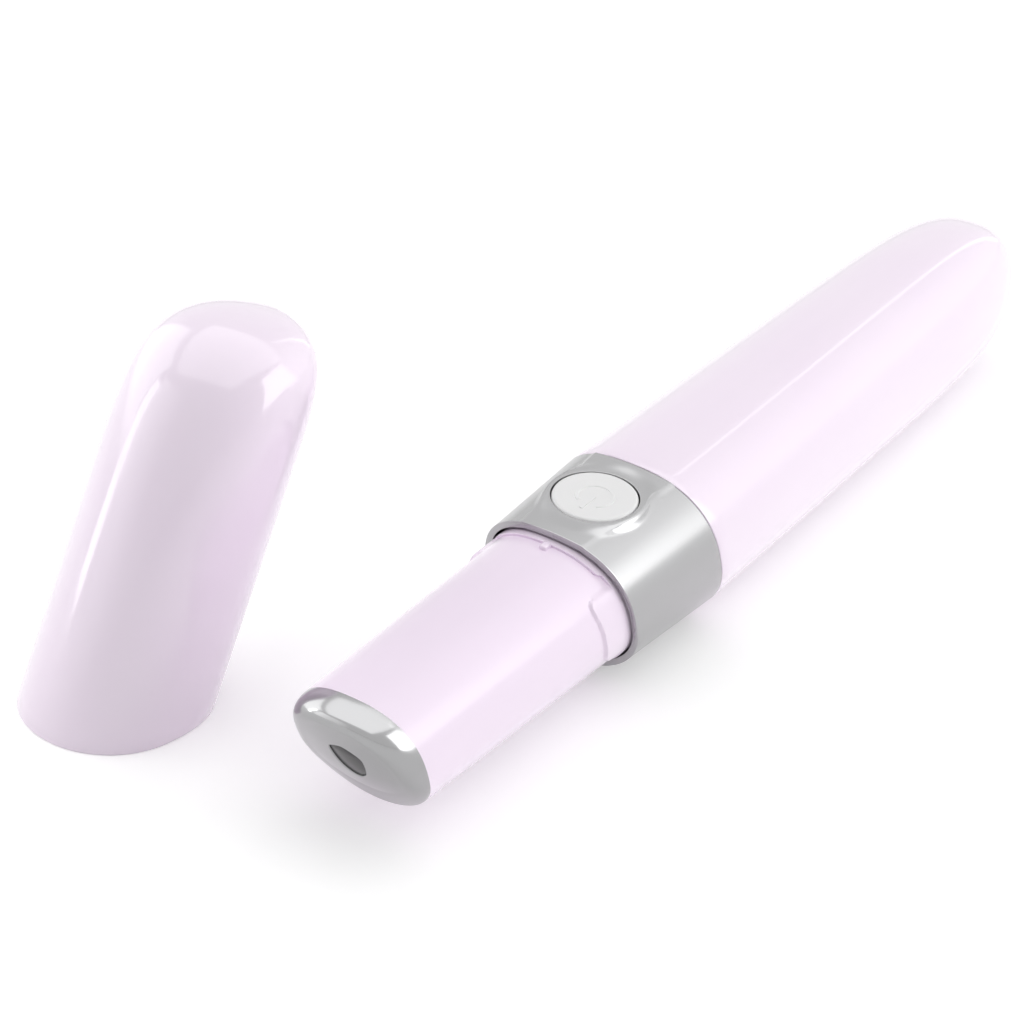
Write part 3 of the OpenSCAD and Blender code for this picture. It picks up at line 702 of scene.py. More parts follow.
# ---------------------------------------------------------------- handle
@dataclass
class Handle:
    """The long tapered shell that pulls off the spigot."""

    rim: float = 0.18 * MM

    def row(self, t: float, inset: float, reach: float, shift: float = 0.0) -> list[Vector]:
        """Returns one outline of the handle, t of the way to its tail.

        Args:
            t: share of the length.
            inset: how far the outline is drawn in.
            reach: length from the rim to the tail.
            shift: how far it moves towards the tail.

        Returns:
            The outline's points.
        """
        _width, crown, belly = FORM.ring_size(1.0, inset)
        end = blunt(t, FORM.tail_power)
        return FORM.outline(
            FORM.handle_half_width(t, inset) * end,
            crown * end,
            belly * end,
            FORM.ring_length + FORM.seam + t * reach + shift,
            FORM.lean * (1.0 - t),
        )

    def build(self, builder: Builder) -> bpy.types.Object:
        """Lofts the shell, inside and out, with a small round on its rim.

        Args:
            builder: dresses the piece.

        Returns:
            The handle.
        """
        steps = stations(FORM.tail_power, [i / 40.0 for i in range(28)], 40)
        inner = [self.row(t, FORM.handle_wall, FORM.handle_length - FORM.handle_wall) for t in steps[::-1]]
        rounded = []
        for angle in (0.0, 30.0, 60.0, 90.0):
            a = math.radians(angle)
            rounded.append(self.row(0.0, self.rim * (1.0 - math.sin(a)), FORM.handle_length,
                                    self.rim * (1.0 - math.cos(a))))
        outer = [self.row(t, 0.0, FORM.handle_length) for t in steps if t * FORM.handle_length > self.rim]
        mesh = loft([*inner, *rounded, *outer], close_start=True, close_end=True)
        obj = finish_mesh("handle", mesh, builder.setting.wand)
        return builder.hand_over(obj, Look.PEARL, "handle", "pearl_shell", "handle_shell")


# ---------------------------------------------------------------- metal ring
@dataclass
class Ring:
    """The metal ring, with its raised flat round the button's hole."""

    cell: float = 0.17 * MM
    front_rows: int = 56
    rear_rows: int = 51
    hole_cells: int = 31
    patch_cells: int = 46
    side_columns: int = 150
    wall: float = 0.78 * MM
    pad_depth: float = 0.15 * MM
    pad_border: float = 0.3 * MM
    pad_blend: float = 2.6 * MM
    panel_front: float = 4.3 * MM
    panel_rear: float = 5.55 * MM
    panel_round: float = 6.0 * MM
    panel_blend: float = 2.2 * MM
    panel_step: float = 0.62 * MM
    panel_bow: float = 21.0
    edge: float = 0.25 * MM

    def __post_init__(self) -> None:
        """Works out where the button's centre line crosses the ring's ridge."""
        self.ridge = FORM.crown_point(0.0, FORM.button_y)
        self.button_t = (FORM.button_y + self.ridge.z * FORM.lean) / FORM.ring_length
        self.rise = FORM.ridge_slope()
        self.hole = FORM.button_radius + FORM.button_gap

    def share(self, row: int) -> float:
        """Returns how far along the ring a row lies, from 0 to 1."""
        if row <= self.front_rows:
            return self.button_t * row / self.front_rows
        return mix(self.button_t, 1.0, (row - self.front_rows) / self.rear_rows)

    def on_grid(self, column: int, row: int) -> Vector:
        """Returns the plain ring's point at a column and a row.

        Args:
            column: 0 is the ridge; columns past the patch go round the sides and the belly.
            row: 0 is the front edge.

        Returns:
            The point on the outer skin.
        """
        t = self.share(row)
        width, top, belly = FORM.ring_size(t, 0.0)
        if abs(column) <= self.patch_cells:
            x = column * self.cell
            z = top * (1.0 - (abs(x) / width) ** FORM.crown_power) ** (1.0 / FORM.crown_power)
        else:
            edge = (self.patch_cells * self.cell / width) ** (FORM.crown_power / 2.0)
            start = math.acos(edge)
            a = mix(start, -math.pi - start, (column - self.patch_cells) / self.side_columns)
            upper = math.sin(a) >= 0.0
            power = FORM.crown_power if upper else FORM.belly_power
            x = width * curved(math.cos(a), power)
            z = (top if upper else belly) * curved(math.sin(a), power)
        return Vector((x, t * FORM.ring_length - z * FORM.lean, z))

    def point(self, column: int, row: int) -> Vector:
        """Returns a point of the finished skin: the grid opens round the hole and rises to the pad.

        Args:
            column: place across, in cells.
            row: place along, in cells.

        Returns:
            The point on the outer skin.
        """
        base = self.on_grid(column, row)
        across, along = column, row - self.front_rows
        step = max(abs(across), abs(along))
        if abs(across) <= self.patch_cells and self.hole_cells <= step < self.patch_cells:
            angle = self.square_angle(across, along, step)
            radius = self.hole + (step - self.hole_cells) * self.cell
            circle = Vector((radius * math.cos(angle), FORM.button_y + radius * math.sin(angle)))
            t = smooth((step - self.hole_cells) / (self.patch_cells - self.hole_cells))
            base = FORM.crown_point(mix(circle.x, base.x, t), mix(circle.y, base.y, t))
        if base.z > 0.0:
            inside = 1.0 - smooth(0.5 + self.past_panel(base.x, base.y) / self.panel_step)
            base.z = mix(base.z, self.panel_height(base.x, base.y), inside)
        return base

    def past_panel(self, x: float, y: float) -> float:
        """Returns how far a point lies outside the top panel, whose edge bulges round the button.

        Args:
            x: sideways place.
            y: place along the wand.

        Returns:
            The distance, negative inside the panel.
        """
        front = -FORM.crown * FORM.lean
        share = (y - front) / FORM.ring_length
        straight = abs(x) - mix(self.panel_front, self.panel_rear, share)
        ringed = math.hypot(x, y - FORM.button_y) - self.panel_round
        near = max(0.0, 1.0 - abs(straight - ringed) / self.panel_blend)
        return min(straight, ringed) - near * near * self.panel_blend / 4.0

    def panel_height(self, x: float, y: float) -> float:
        """Returns the top panel's height: gently bowed, and flat round the button.

        Args:
            x: sideways place.
            y: place along the wand.

        Returns:
            The height above the axis.
        """
        ridge = self.ridge.z + (y - FORM.button_y) * self.rise
        reach = math.hypot(x, y - FORM.button_y)
        flat = 1.0 - smoother((reach - self.hole - self.pad_border) / self.pad_blend)
        return ridge - mix(self.panel_bow * x * x, self.pad_depth, flat)

    @staticmethod
    def square_angle(across: int, along: int, step: int) -> float:
        """Spreads the cells of a square evenly round a circle.

        Args:
            across: cells to the right of the centre.
            along: cells behind the centre.
            step: the square's half side, in cells.

        Returns:
            The angle, in radians, from +X towards +Y.
        """
        if across == step and along < step:
            place = along
        elif along == step and across > -step:
            place = 2 * step - across
        elif across == -step and along > -step:
            place = 4 * step - along
        else:
            place = 6 * step + across
        return math.pi / 4.0 * place / step

    def build(self, builder: Builder) -> bpy.types.Object:
        """Bends a flat grid round the ring, opens the button's hole and thickens it.

        Args:
            builder: dresses the piece.

        Returns:
            The ring.
        """
        columns = 2 * self.patch_cells + self.side_columns
        rows = self.front_rows + self.rear_rows
        mesh = bmesh.new()
        bmesh.ops.create_grid(
            mesh, x_segments=columns, y_segments=rows, size=0.5,
            matrix=Matrix.Diagonal((columns, rows, 1.0, 1.0)),
        )
        cells = {}
        for vert in mesh.verts:
            column = round(vert.co.x + columns / 2.0) - self.patch_cells
            cells[vert] = (column, round(vert.co.y + rows / 2.0))
        hidden = [
            vert for vert, (column, row) in cells.items()
            if max(abs(column), abs(row - self.front_rows)) < self.hole_cells
        ]
        for vert in hidden:
            del cells[vert]
        bmesh.ops.delete(mesh, geom=hidden, context="VERTS")
        for vert, (column, row) in cells.items():
            vert.co = self.point(column, row)
        bmesh.ops.remove_doubles(mesh, verts=mesh.verts, dist=0.001 * MM)
        bmesh.ops.recalc_face_normals(mesh, faces=mesh.faces)
        top = max(mesh.faces, key=lambda face: face.calc_center_median().z)
        if top.normal.z < 0.0:
            bmesh.ops.reverse_faces(mesh, faces=mesh.faces)
        obj = finish_mesh("ring", mesh, builder.setting.wand, 180.0)
        wall = obj.modifiers.new("wall", "SOLIDIFY")
        wall.thickness = self.wall
        wall.offset = -1.0
        wall.use_even_offset = True
        rounding = obj.modifiers.new("edge", "BEVEL")
        rounding.width = self.edge
        rounding.segments = 3
        rounding.limit_method = "ANGLE"
        rounding.angle_limit = math.radians(50.0)
        rounding.harden_normals = False
        bake_modifiers(obj)
        return builder.hand_over(obj, Look.RING, "wand", "chrome_ring", "ring_band")


# ---------------------------------------------------------------- power button
@dataclass
class Button:
    """The round power button with its raised sign."""

    proud: float = 0.15 * MM
    round: float = 0.45 * MM
    dish: float = 0.12 * MM
    depth: float = 2.6 * MM
    sign_radius: float = 2.2 * MM
    sign_width: float = 0.6 * MM
    sign_rise: float = 0.09 * MM
    sign_gap: float = 70.0
    stroke_start: float = 0.2 * MM
    stroke_end: float = 3.2 * MM
    steps: int = 96

    def surface(self, radius: float) -> float:
        """Returns the height of the dished top at a radius, below its brim."""
        return -self.dish * (1.0 - smooth(radius / (FORM.button_radius - self.round)))

    def build(self, builder: Builder, pad: float) -> list[bpy.types.Object]:
        """Spins the button's profile and raises the sign on it.

        Args:
            builder: dresses the pieces.
            pad: height of the ring's flat pad above the axis.

        Returns:
            The button and its sign.
        """
        top = pad + self.proud
        place = builder.setting.wand @ Matrix.Translation((0.0, FORM.button_y, 0.0))
        profile = [Vector((0.0, 0.0, top - self.dish))]
        flat = FORM.button_radius - self.round
        for share in (0.2, 0.4, 0.6, 0.8, 0.95):
            profile.append(Vector((flat * share, 0.0, top + self.surface(flat * share))))
        for index in range(7):
            a = math.radians(15.0 * index)
            fall = self.round * (1.0 - math.cos(a))
            profile.append(Vector((flat + self.round * math.sin(a), 0.0, top - fall)))
        profile.append(Vector((FORM.button_radius, 0.0, top - self.depth)))
        profile.append(Vector((0.0, 0.0, top - self.depth)))
        shape = spun(profile, self.steps)
        for vert in shape.verts:
            if vert.co.z > top - self.depth / 2.0:
                vert.co.z += vert.co.y * FORM.ridge_slope()
        button = finish_mesh("button", shape, place)
        builder.hand_over(button, Look.BUTTON, "button", "button_plastic", "power_button")
        sign = self.sign(place, top)
        builder.hand_over(sign, Look.BUTTON, "button", "button_plastic")
        return [button, sign]

    def sign(self, place: Matrix, brim: float) -> bpy.types.Object:
        """Makes the power sign: an open ring with a stroke that leaves by its gap.

        Args:
            place: the button's place.
            brim: height of the button's brim above the axis.

        Returns:
            The sign, laid on the dished top.
        """
        mesh = bmesh.new()
        half = self.sign_width / 2.0
        sunk = 0.1 * MM
        section = [(-half, -sunk), (half, -sunk), (half * 0.6, self.sign_rise), (-half * 0.6, self.sign_rise)]
        verts = [mesh.verts.new((self.sign_radius + x, 0.0, z)) for x, z in section]
        edges = [mesh.edges.new((verts[i], verts[(i + 1) % 4])) for i in range(4)]
        start = Matrix.Rotation(math.radians(self.sign_gap / 2.0 - 90.0), 3, "Z")
        bmesh.ops.rotate(mesh, verts=verts, cent=(0, 0, 0), matrix=start)
        bmesh.ops.contextual_create(mesh, geom=edges)
        bmesh.ops.spin(
            mesh, geom=mesh.faces[:] + mesh.edges[:] + mesh.verts[:], cent=(0, 0, 0), axis=(0, 0, 1),
            angle=math.radians(360.0 - self.sign_gap), steps=64, use_merge=False,
        )
        length = self.stroke_end - self.stroke_start
        bar = bmesh.ops.create_grid(mesh, x_segments=1, y_segments=12, size=0.5)["verts"]
        bmesh.ops.scale(mesh, verts=bar, vec=(self.sign_width * 0.8, length, 1.0))
        middle = (0.0, -(self.stroke_start + self.stroke_end) / 2.0, self.sign_rise)
        bmesh.ops.translate(mesh, verts=bar, vec=middle)
        flat = [face for face in mesh.faces if all(vert in set(bar) for vert in face.verts)]
        grown = bmesh.ops.extrude_face_region(mesh, geom=flat)["geom"]
        low = [g for g in grown if isinstance(g, bmesh.types.BMVert)]
        bmesh.ops.translate(mesh, verts=low, vec=(0.0, 0.0, -self.sign_rise - sunk))
        bmesh.ops.recalc_face_normals(mesh, faces=mesh.faces)
        slope = FORM.ridge_slope()
        for vert in mesh.verts:
            vert.co.z += brim + self.surface(math.hypot(vert.co.x, vert.co.y)) + vert.co.y * slope
        return finish_mesh("power_sign", mesh, place, 40.0)


def spun(profile: Sequence[Vector], steps: int) -> bmesh.types.BMesh:
    """Turns a profile in the XZ plane once round the Z axis.

    Args:
        profile: points from the axis round to the axis again.
        steps: facets of the turn.

    Returns:
        A closed mesh.
    """
    mesh = bmesh.new()
    verts = [mesh.verts.new(p) for p in profile]
    edges = [mesh.edges.new(pair) for pair in zip(verts, verts[1:])]
    bmesh.ops.spin(
        mesh, geom=verts + edges, cent=(0, 0, 0), axis=(0, 0, 1), angle=math.tau, steps=steps, use_merge=True
    )
    bmesh.ops.remove_doubles(mesh, verts=mesh.verts, dist=0.0001 * MM)
    bmesh.ops.recalc_face_normals(mesh, faces=mesh.faces)
    return mesh


# ---------------------------------------------------------------- head sleeve
@dataclass
class Sleeve:
    """The plastic sleeve behind the head, with its collar, side ribs and key lug."""

    collar: float = 1.3 * MM
    collar_side: float = 0.7 * MM
    collar_corner: float = 8.0 * MM
    corner_blend: float = 0.3 * MM
    brim_round: float = 0.12 * MM
    rib_front: float = 5.35 * MM
    rib_rise: float = 0.42 * MM
    rib_top: float = 6.6 * MM
    rib_bottom: float = -3.4 * MM
    rib_corner: float = 1.7 * MM
    rib_lead: float = 0.7 * MM
    rib_power: int = 7
    ramp: float = 0.2 * MM
    fade: float = 0.45 * MM
    spigot: float = 7.0 * MM
    spigot_fit: float = 0.1 * MM
    seal_groove: float = 1.3 * MM
    seal_depth: float = 0.5 * MM
    end_step: float = 0.15 * MM
    well_gap: float = 1.2 * MM
    well_top: float = 20 * MM
    screw_hole: float = 1.65 * MM
    hole_below: float = 2 * MM
    hole_above: float = 1.2 * MM
    lug_size: tuple[float, float, float] = (1.0 * MM, 1.4 * MM, 0.9 * MM)
    lug_round: float = 0.22 * MM
    lug_aside: float = 0.15 * MM
    lug_ahead: float = 0.5 * MM

    def rib(self, x: float, z: float, back: float) -> float:
        """Returns the snap rib's rise at a point of the skin.

        Args:
            x: sideways place.
            z: height above the axis.
            back: distance ahead of the ring, measured along the leaning planes.

        Returns:
            How far the skin is raised there.
        """
        if z < self.rib_bottom - self.ramp or z > self.rib_top + self.fade:
            return 0.0
        middle = (self.rib_top + self.rib_bottom) / 2.0
        place = (z - middle) / (self.rib_top - middle)
        round_end = math.sqrt(1.0 - min(1.0, abs(place)) ** self.rib_power)
        lead = self.rib_lead * max(0.0, place) ** 2
        front = self.rib_front + lead - self.rib_corner * (1.0 - round_end)
        ends = smooth((self.rib_top + self.fade - z) / (2 * self.fade))
        ends *= smooth((z - self.rib_bottom + self.ramp) / (2 * self.ramp))
        return self.rib_rise * ends * smooth((front - back) / (2 * self.ramp))

    def collar_front(self, z: float) -> float:
        """Returns how far ahead of the ring the collar reaches: further on top than at the sides."""
        return mix(self.collar_side, self.collar, smooth((z - self.collar_corner) / self.corner_blend))

    def skin_row(self, back: float) -> list[Vector]:
        """Returns the outer skin's outline at a distance ahead of the ring.

        Args:
            back: distance ahead of the ring.

        Returns:
            The outline's points.
        """
        size = FORM.sleeve_size(back / FORM.sleeve_length, 0.0)
        points = []
        for p in FORM.outline(*size, -back):
            grow = 1.0 + self.rib(abs(p.x), p.z, back) / math.hypot(p.x, p.z)
            z = p.z * grow
            points.append(Vector((p.x * grow, -max(back, self.collar_front(z)) - z * FORM.lean, z)))
        return points

    def collar_row(self, angle: float, seat: float) -> list[Vector]:
        """Returns an outline of the collar's rounded brim: 0 degrees at the skin, 90 on top.

        Args:
            angle: place on the brim's round, in degrees.
            seat: inset of the ring's seat.

        Returns:
            The outline's points.
        """
        a = math.radians(angle)
        inset = seat + (FORM.cap_wall + FORM.cap_fit - seat) * (1.0 - math.sin(a))
        behind = self.brim_round * (1.0 - math.cos(a))
        return [
            p + Vector((0.0, behind - self.collar_front(p.z), 0.0))
            for p in FORM.ring_outline(0.0, inset, 0.0)
        ]

    def spigot_row(self, inset: float, y: float) -> list[Vector]:
        """Returns an outline of the spigot that the handle pushes onto.

        Args:
            inset: how far the outline is drawn in.
            y: place along the wand.

        Returns:
            The outline's points.
        """
        first = 0.25
        start = FORM.handle_half_width(0.0, FORM.handle_wall)
        later = FORM.handle_half_width(first, FORM.handle_wall)
        slope = (start - later) / (first * (FORM.handle_length - FORM.handle_wall))
        width, crown, belly = FORM.ring_size(1.0, inset)
        behind = max(0.0, y - FORM.ring_length - FORM.seam)
        return FORM.outline(width - slope * behind, crown, belly, y)

    def build(self, builder: Builder) -> bpy.types.Object:
        """Lofts the sleeve from the head to the spigot's end and back inside.

        Args:
            builder: dresses the pieces.

        Returns:
            The sleeve.
        """
        wall = FORM.sleeve_wall
        backs = [FORM.sleeve_length, FORM.sleeve_length - self.end_step]
        backs += [mix(FORM.sleeve_length - 1.0 * MM, 8.0 * MM, i / 20.0) for i in range(21)]
        backs += [mix(7.8 * MM, self.collar_side, i / 50.0) for i in range(51)]
        rows = [self.skin_row(b) for b in backs]
        seat = FORM.ring_wall + 0.05 * MM
        rows += [self.collar_row(angle, seat) for angle in (30.0, 60.0, 90.0)]
        length, inner = FORM.ring_length, FORM.handle_wall + self.spigot_fit
        rows += [FORM.ring_outline(t, seat, t * length) for t in (i / 10.0 for i in range(11))]
        end = length + FORM.seam + self.spigot
        groove = end - self.seal_groove
        near, far = groove - self.seal_groove / 2, groove + self.seal_groove / 2
        deep, thick, step = inner + self.seal_depth, inner + wall, self.end_step
        for y, inset in (
            (length, inner), (near, inner), (near, deep), (far, deep), (far, inner),
            (end - step, inner), (end, inner + step), (end, thick), (length, thick),
        ):
            rows.append(self.spigot_row(inset, y))
        rows.append(FORM.ring_outline(0.0, seat + wall, 0.0))
        rows.append(FORM.sleeve_outline(-FORM.sleeve_length, wall))
        obj = finish_mesh("sleeve", loft(rows, looped=True), builder.setting.wand, 38.0)
        place = builder.setting.wand
        well = rod("well", FORM.button_radius + self.well_gap,
                   place @ Vector((0, FORM.button_y, 0)), place @ Vector((0, FORM.button_y, self.well_top)))
        drill(obj, well, 38.0)
        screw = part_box("chassis_screw")
        middle = (screw[0] + screw[1]) / 2.0
        hole = rod("screw_hole", self.screw_hole, Vector((middle.x, middle.y, screw[0].z - self.hole_below)),
                   Vector((middle.x, middle.y, screw[0].z + self.hole_above)), 48)
        drill(obj, hole, 38.0)
        builder.hand_over(obj, Look.SLEEVE, "wand", "pearl_sleeve", "head_sleeve")
        self.lug(builder)
        return obj

    def lug(self, builder: Builder) -> bpy.types.Object:
        """Makes the small rounded lug on the button side that keys the cap.

        Args:
            builder: dresses the piece.

        Returns:
            The lug.
        """
        mesh = bmesh.new()
        verts = bmesh.ops.create_cube(mesh, size=1.0)["verts"]
        top = FORM.sleeve_size(0.0, 0.0)[1]
        bmesh.ops.scale(mesh, verts=verts, vec=self.lug_size)
        bmesh.ops.bevel(mesh, geom=mesh.edges[:], offset=self.lug_round, segments=3, profile=0.5,
                        affect="EDGES", material=-1)
        y = -self.collar - self.lug_ahead - top * FORM.lean
        place = builder.setting.wand @ Matrix.Translation((self.lug_aside, y, top))
        obj = finish_mesh("lug", mesh, place)
        return builder.hand_over(obj, Look.SLEEVE, "wand", "pearl_sleeve")


# ---------------------------------------------------------------- head plate
@dataclass
class Head:
    """The metal massage plate with its smoked window."""

    wall: float = 1.0 * MM
    plug: float = 2.4 * MM
    window_height: float = 7.1 * MM
    window_half_width: float = 2.15 * MM
    window_split: float = 0.74
    window_rise: float = 2.65 * MM
    leaf_power: float = 1.6
    dome: float = 0.5 * MM
    sink_middle: float = 0.1 * MM
    sink_edge: float = 0.24 * MM

    def leaf(self, a: float, inset: float) -> tuple[float, float]:
        """Returns a point of the window's leaf outline, as across and up in the face.

        Args:
            a: angle round the leaf, in radians.
            inset: how far the outline is drawn in.

        Returns:
            Sideways place, and place up the face.
        """
        radius = self.window_half_width - inset
        if math.sin(a) < 0.0:
            bowl = self.window_height * self.window_split - inset
            return radius * math.cos(a), self.window_rise + bowl * math.sin(a)
        tip = self.window_height * (1.0 - self.window_split) - inset
        return radius * curved(math.cos(a), 2.0 / self.leaf_power), self.window_rise + tip * math.sin(a)

    def bulge(self, x: float, up: float) -> float:
        """Returns how far the domed face stands ahead of its flat there.

        Args:
            x: sideways place.
            up: distance up the face from the axis.

        Returns:
            The rise over the flat.
        """
        width, crown, belly = FORM.sleeve_size(1.0, FORM.face_border)
        z = up * math.cos(math.atan(FORM.face_slope))
        high, power = (crown, FORM.crown_power) if z >= 0.0 else (belly, FORM.belly_power)
        share = ((abs(x) / width) ** power + (abs(z) / high) ** power) ** (1.0 / power)
        return self.dome * max(0.0, 1.0 - share * share)

    def on_face(self, x: float, up: float, depth: float) -> Vector:
        """Turns a place in the face's plane into the wand's own frame.

        Args:
            x: sideways place.
            up: distance up the face from the axis.
            depth: distance behind the face.

        Returns:
            The point.
        """
        slant = math.atan(FORM.face_slope)
        y = -FORM.face_reach - up * math.sin(slant) + depth * math.cos(slant) - self.bulge(x, up)
        return Vector((x, y, up * math.cos(slant) + depth * math.sin(slant)))

    def face_point(self, a: float, share: float, inset: float, depth: float) -> Vector:
        """Returns a point between the window's outline and the face's rim.

        Args:
            a: angle round both outlines, in radians.
            share: 0 at the window and 1 at the rim.
            inset: how far the rim is drawn in.
            depth: distance behind the face.

        Returns:
            The point.
        """
        slant = math.atan(FORM.face_slope)
        width, crown, belly = FORM.sleeve_size(1.0, FORM.face_border + inset)
        upper = math.sin(a) >= 0.0
        power = FORM.crown_power if upper else FORM.belly_power
        rim_x = width * curved(math.cos(a), power)
        rim_up = (crown if upper else belly) * curved(math.sin(a), power) / math.cos(slant)
        x, up = self.leaf(a, 0.0)
        return self.on_face(mix(x, rim_x, share), mix(up, rim_up, share), depth)

    def border_row(self, angle: float) -> list[Vector]:
        """Returns an outline of the rounded border: 90 degrees at the face, 0 at the sleeve.

        Args:
            angle: place on the border's round, in degrees.

        Returns:
            The outline's points.
        """
        a = math.radians(angle)
        size = FORM.sleeve_size(1.0, FORM.face_border * (1.0 - math.cos(a)))
        points = []
        for p in FORM.outline(*size, 0.0, 0.0):
            behind = -FORM.sleeve_length - p.z * FORM.lean
            ahead = -FORM.face_reach - p.z * FORM.face_slope
            points.append(Vector((p.x, mix(behind, ahead, math.sin(a)), p.z)))
        return points

    def build(self, builder: Builder) -> bpy.types.Object:
        """Lofts the plate from its window outwards, round its border and back inside.

        Args:
            builder: dresses the pieces.

        Returns:
            The plate.
        """
        angles = [FORM.angle(i) for i in range(AROUND)]
        chamfer = 0.12 * MM
        rows = [[self.on_face(*self.leaf(a, 0.0), self.wall) for a in angles]]
        rows += [[self.on_face(*self.leaf(a, 0.0), chamfer) for a in angles]]
        rows += [[self.on_face(*self.leaf(a, -chamfer * 0.7), chamfer * 0.3) for a in angles]]
        rows += [[self.on_face(*self.leaf(a, -chamfer), 0.0) for a in angles]]
        for share in (0.08, 0.2, 0.35, 0.5, 0.65, 0.8, 0.92):
            rows.append([self.face_point(a, share, 0.0, 0.0) for a in angles])
        rows += [self.border_row(90.0 - 6.0 * i) for i in range(16)]
        inset = FORM.sleeve_wall + 0.05 * MM
        plug = -FORM.sleeve_length + self.plug
        rows.append(FORM.sleeve_outline(-FORM.sleeve_length, inset))
        size = FORM.sleeve_size(1.0, inset)
        rows.append(FORM.outline(*size, plug))
        thin = FORM.sleeve_size(1.0, inset + self.wall)
        rows.append(FORM.outline(*thin, plug))
        depth = self.wall
        behind = self.wall - FORM.face_border + inset
        rows.append([self.face_point(a, 1.0, behind, depth) for a in angles])
        rows.append([self.face_point(a, 0.4, behind, depth) for a in angles])
        obj = finish_mesh("head", loft(rows, looped=True), builder.setting.wand, 40.0)
        builder.hand_over(obj, Look.HEAD, "wand", "head_metal", "head_plate")
        self.window(builder)
        return obj

    def window(self, builder: Builder) -> bpy.types.Object:
        """Makes the smoked window, slightly sunk and softly crowned.

        Args:
            builder: dresses the piece.

        Returns:
            The window.
        """
        angles = [FORM.angle(i) for i in range(AROUND)]
        gap = 0.03 * MM
        rows = []
        for share in (0.15, 0.4, 0.65, 0.85, 0.95, 1.0):
            row = []
            for a in angles:
                x, up = self.leaf(a, gap)
                up = mix(self.window_rise, up, share)
                row.append(self.on_face(x * share, up, mix(self.sink_middle, self.sink_edge, share**2)))
            rows.append(row)
        rows.append([self.on_face(*self.leaf(a, gap), self.wall) for a in angles])
        mesh = loft(rows, close_start=True, close_end=True)
        obj = finish_mesh("window", mesh, builder.setting.wand, 40.0)
        return builder.hand_over(obj, Look.WINDOW, "wand", "smoke_window", "window_lens")


# ---------------------------------------------------------------- cap
@dataclass
class Cap:
    """The pull-off cap, standing on its slanted mouth."""

    side_power: float = 14.0
    belly_power: float = 10.0
    rim: float = 0.25 * MM

    def row(self, t: float, inset: float, reach: float, shift: float = 0.0) -> list[Vector]:
        """Returns one outline of the cap, t of the way from its mouth to its tip.

        Args:
            t: share of the length.
            inset: how far the outline is drawn in.
            reach: length from the mouth to the tip.
            shift: how far it moves towards the tip.

        Returns:
            The outline's points.
        """
        end = blunt(t, self.belly_power)
        side = blunt(t, self.side_power)
        middle = FORM.tip_rise * (1.0 - end)
        top = FORM.tip_rise + (FORM.crown - inset - FORM.tip_rise) * side
        return FORM.outline(
            (FORM.half_width - inset) * side,
            max(top - middle, 0.01 * MM),
            (FORM.belly - inset) * end,
            -t * reach - shift,
            FORM.lean * (1.0 - t),
            middle,
        )

    def build(self, builder: Builder) -> bpy.types.Object:
        """Lofts the cap, inside and out, with a small round on its rim.

        Args:
            builder: dresses the piece.

        Returns:
            The cap.
        """
        steps = stations(self.belly_power, [i / 30.0 for i in range(19)], 48)
        reach = FORM.cap_length - FORM.cap_wall
        outer = [self.row(t, 0.0, FORM.cap_length) for t in steps[::-1] if t * FORM.cap_length > self.rim]
        rounded = []
        for angle in (90.0, 60.0, 30.0, 0.0):
            a = math.radians(angle)
            rounded.append(self.row(0.0, self.rim * (1.0 - math.sin(a)), FORM.cap_length,
                                    self.rim * (1.0 - math.cos(a))))
        inner = [self.row(t, FORM.cap_wall, reach) for t in steps]
        mesh = loft([*outer, *rounded, *inner], close_start=True, close_end=True)
        obj = finish_mesh("cap_shell", mesh, builder.setting.standing)
        return builder.hand_over(obj, Look.PEARL, "cap", "pearl_shell", "cap")


# ---------------------------------------------------------------- pieces kept as they are
NODE_LOOKS: dict[str, Look] = {
    "seal_ring": Look.RUBBER,
    "indicator_led": Look.LED,
    "heater_film": Look.FILM,
    "foam_pad": Look.FOAM,
    "thermistor": Look.RESIN,
    "motor_can": Look.STEEL,
    "motor_shaft": Look.STEEL,
    "eccentric_weight": Look.BRASS,
    "motor_cradle": Look.RUBBER,
    "switch_case": Look.RESIN,
    "switch_plunger": Look.INNER,
    "main_board": Look.BOARD,
    "controller_chip": Look.RESIN,
    "storage_capacitor": Look.STEEL,
    "boost_coil": Look.RESIN,
    "board_screws": Look.ZINC,
    "chassis": Look.INNER,
    "chassis_screw": Look.ZINC,
    "battery_cell": Look.JACKET,
    "front_contact": Look.NICKEL,
    "contact_spring": Look.NICKEL,
    "return_strip": Look.NICKEL,
    "lead_wires": Look.WIRE,
}


def dress_nodes(nodes: dict[str, bpy.types.Object], wardrobe: Wardrobe) -> None:
    """Gives every CAD node that stays its own finish.

    Args:
        nodes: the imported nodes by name.
        wardrobe: keeps the materials.
    """
    for name, look in NODE_LOOKS.items():
        wardrobe.dress(nodes[name], look)
        LOG.info("%s: %s", name, look.value.name)


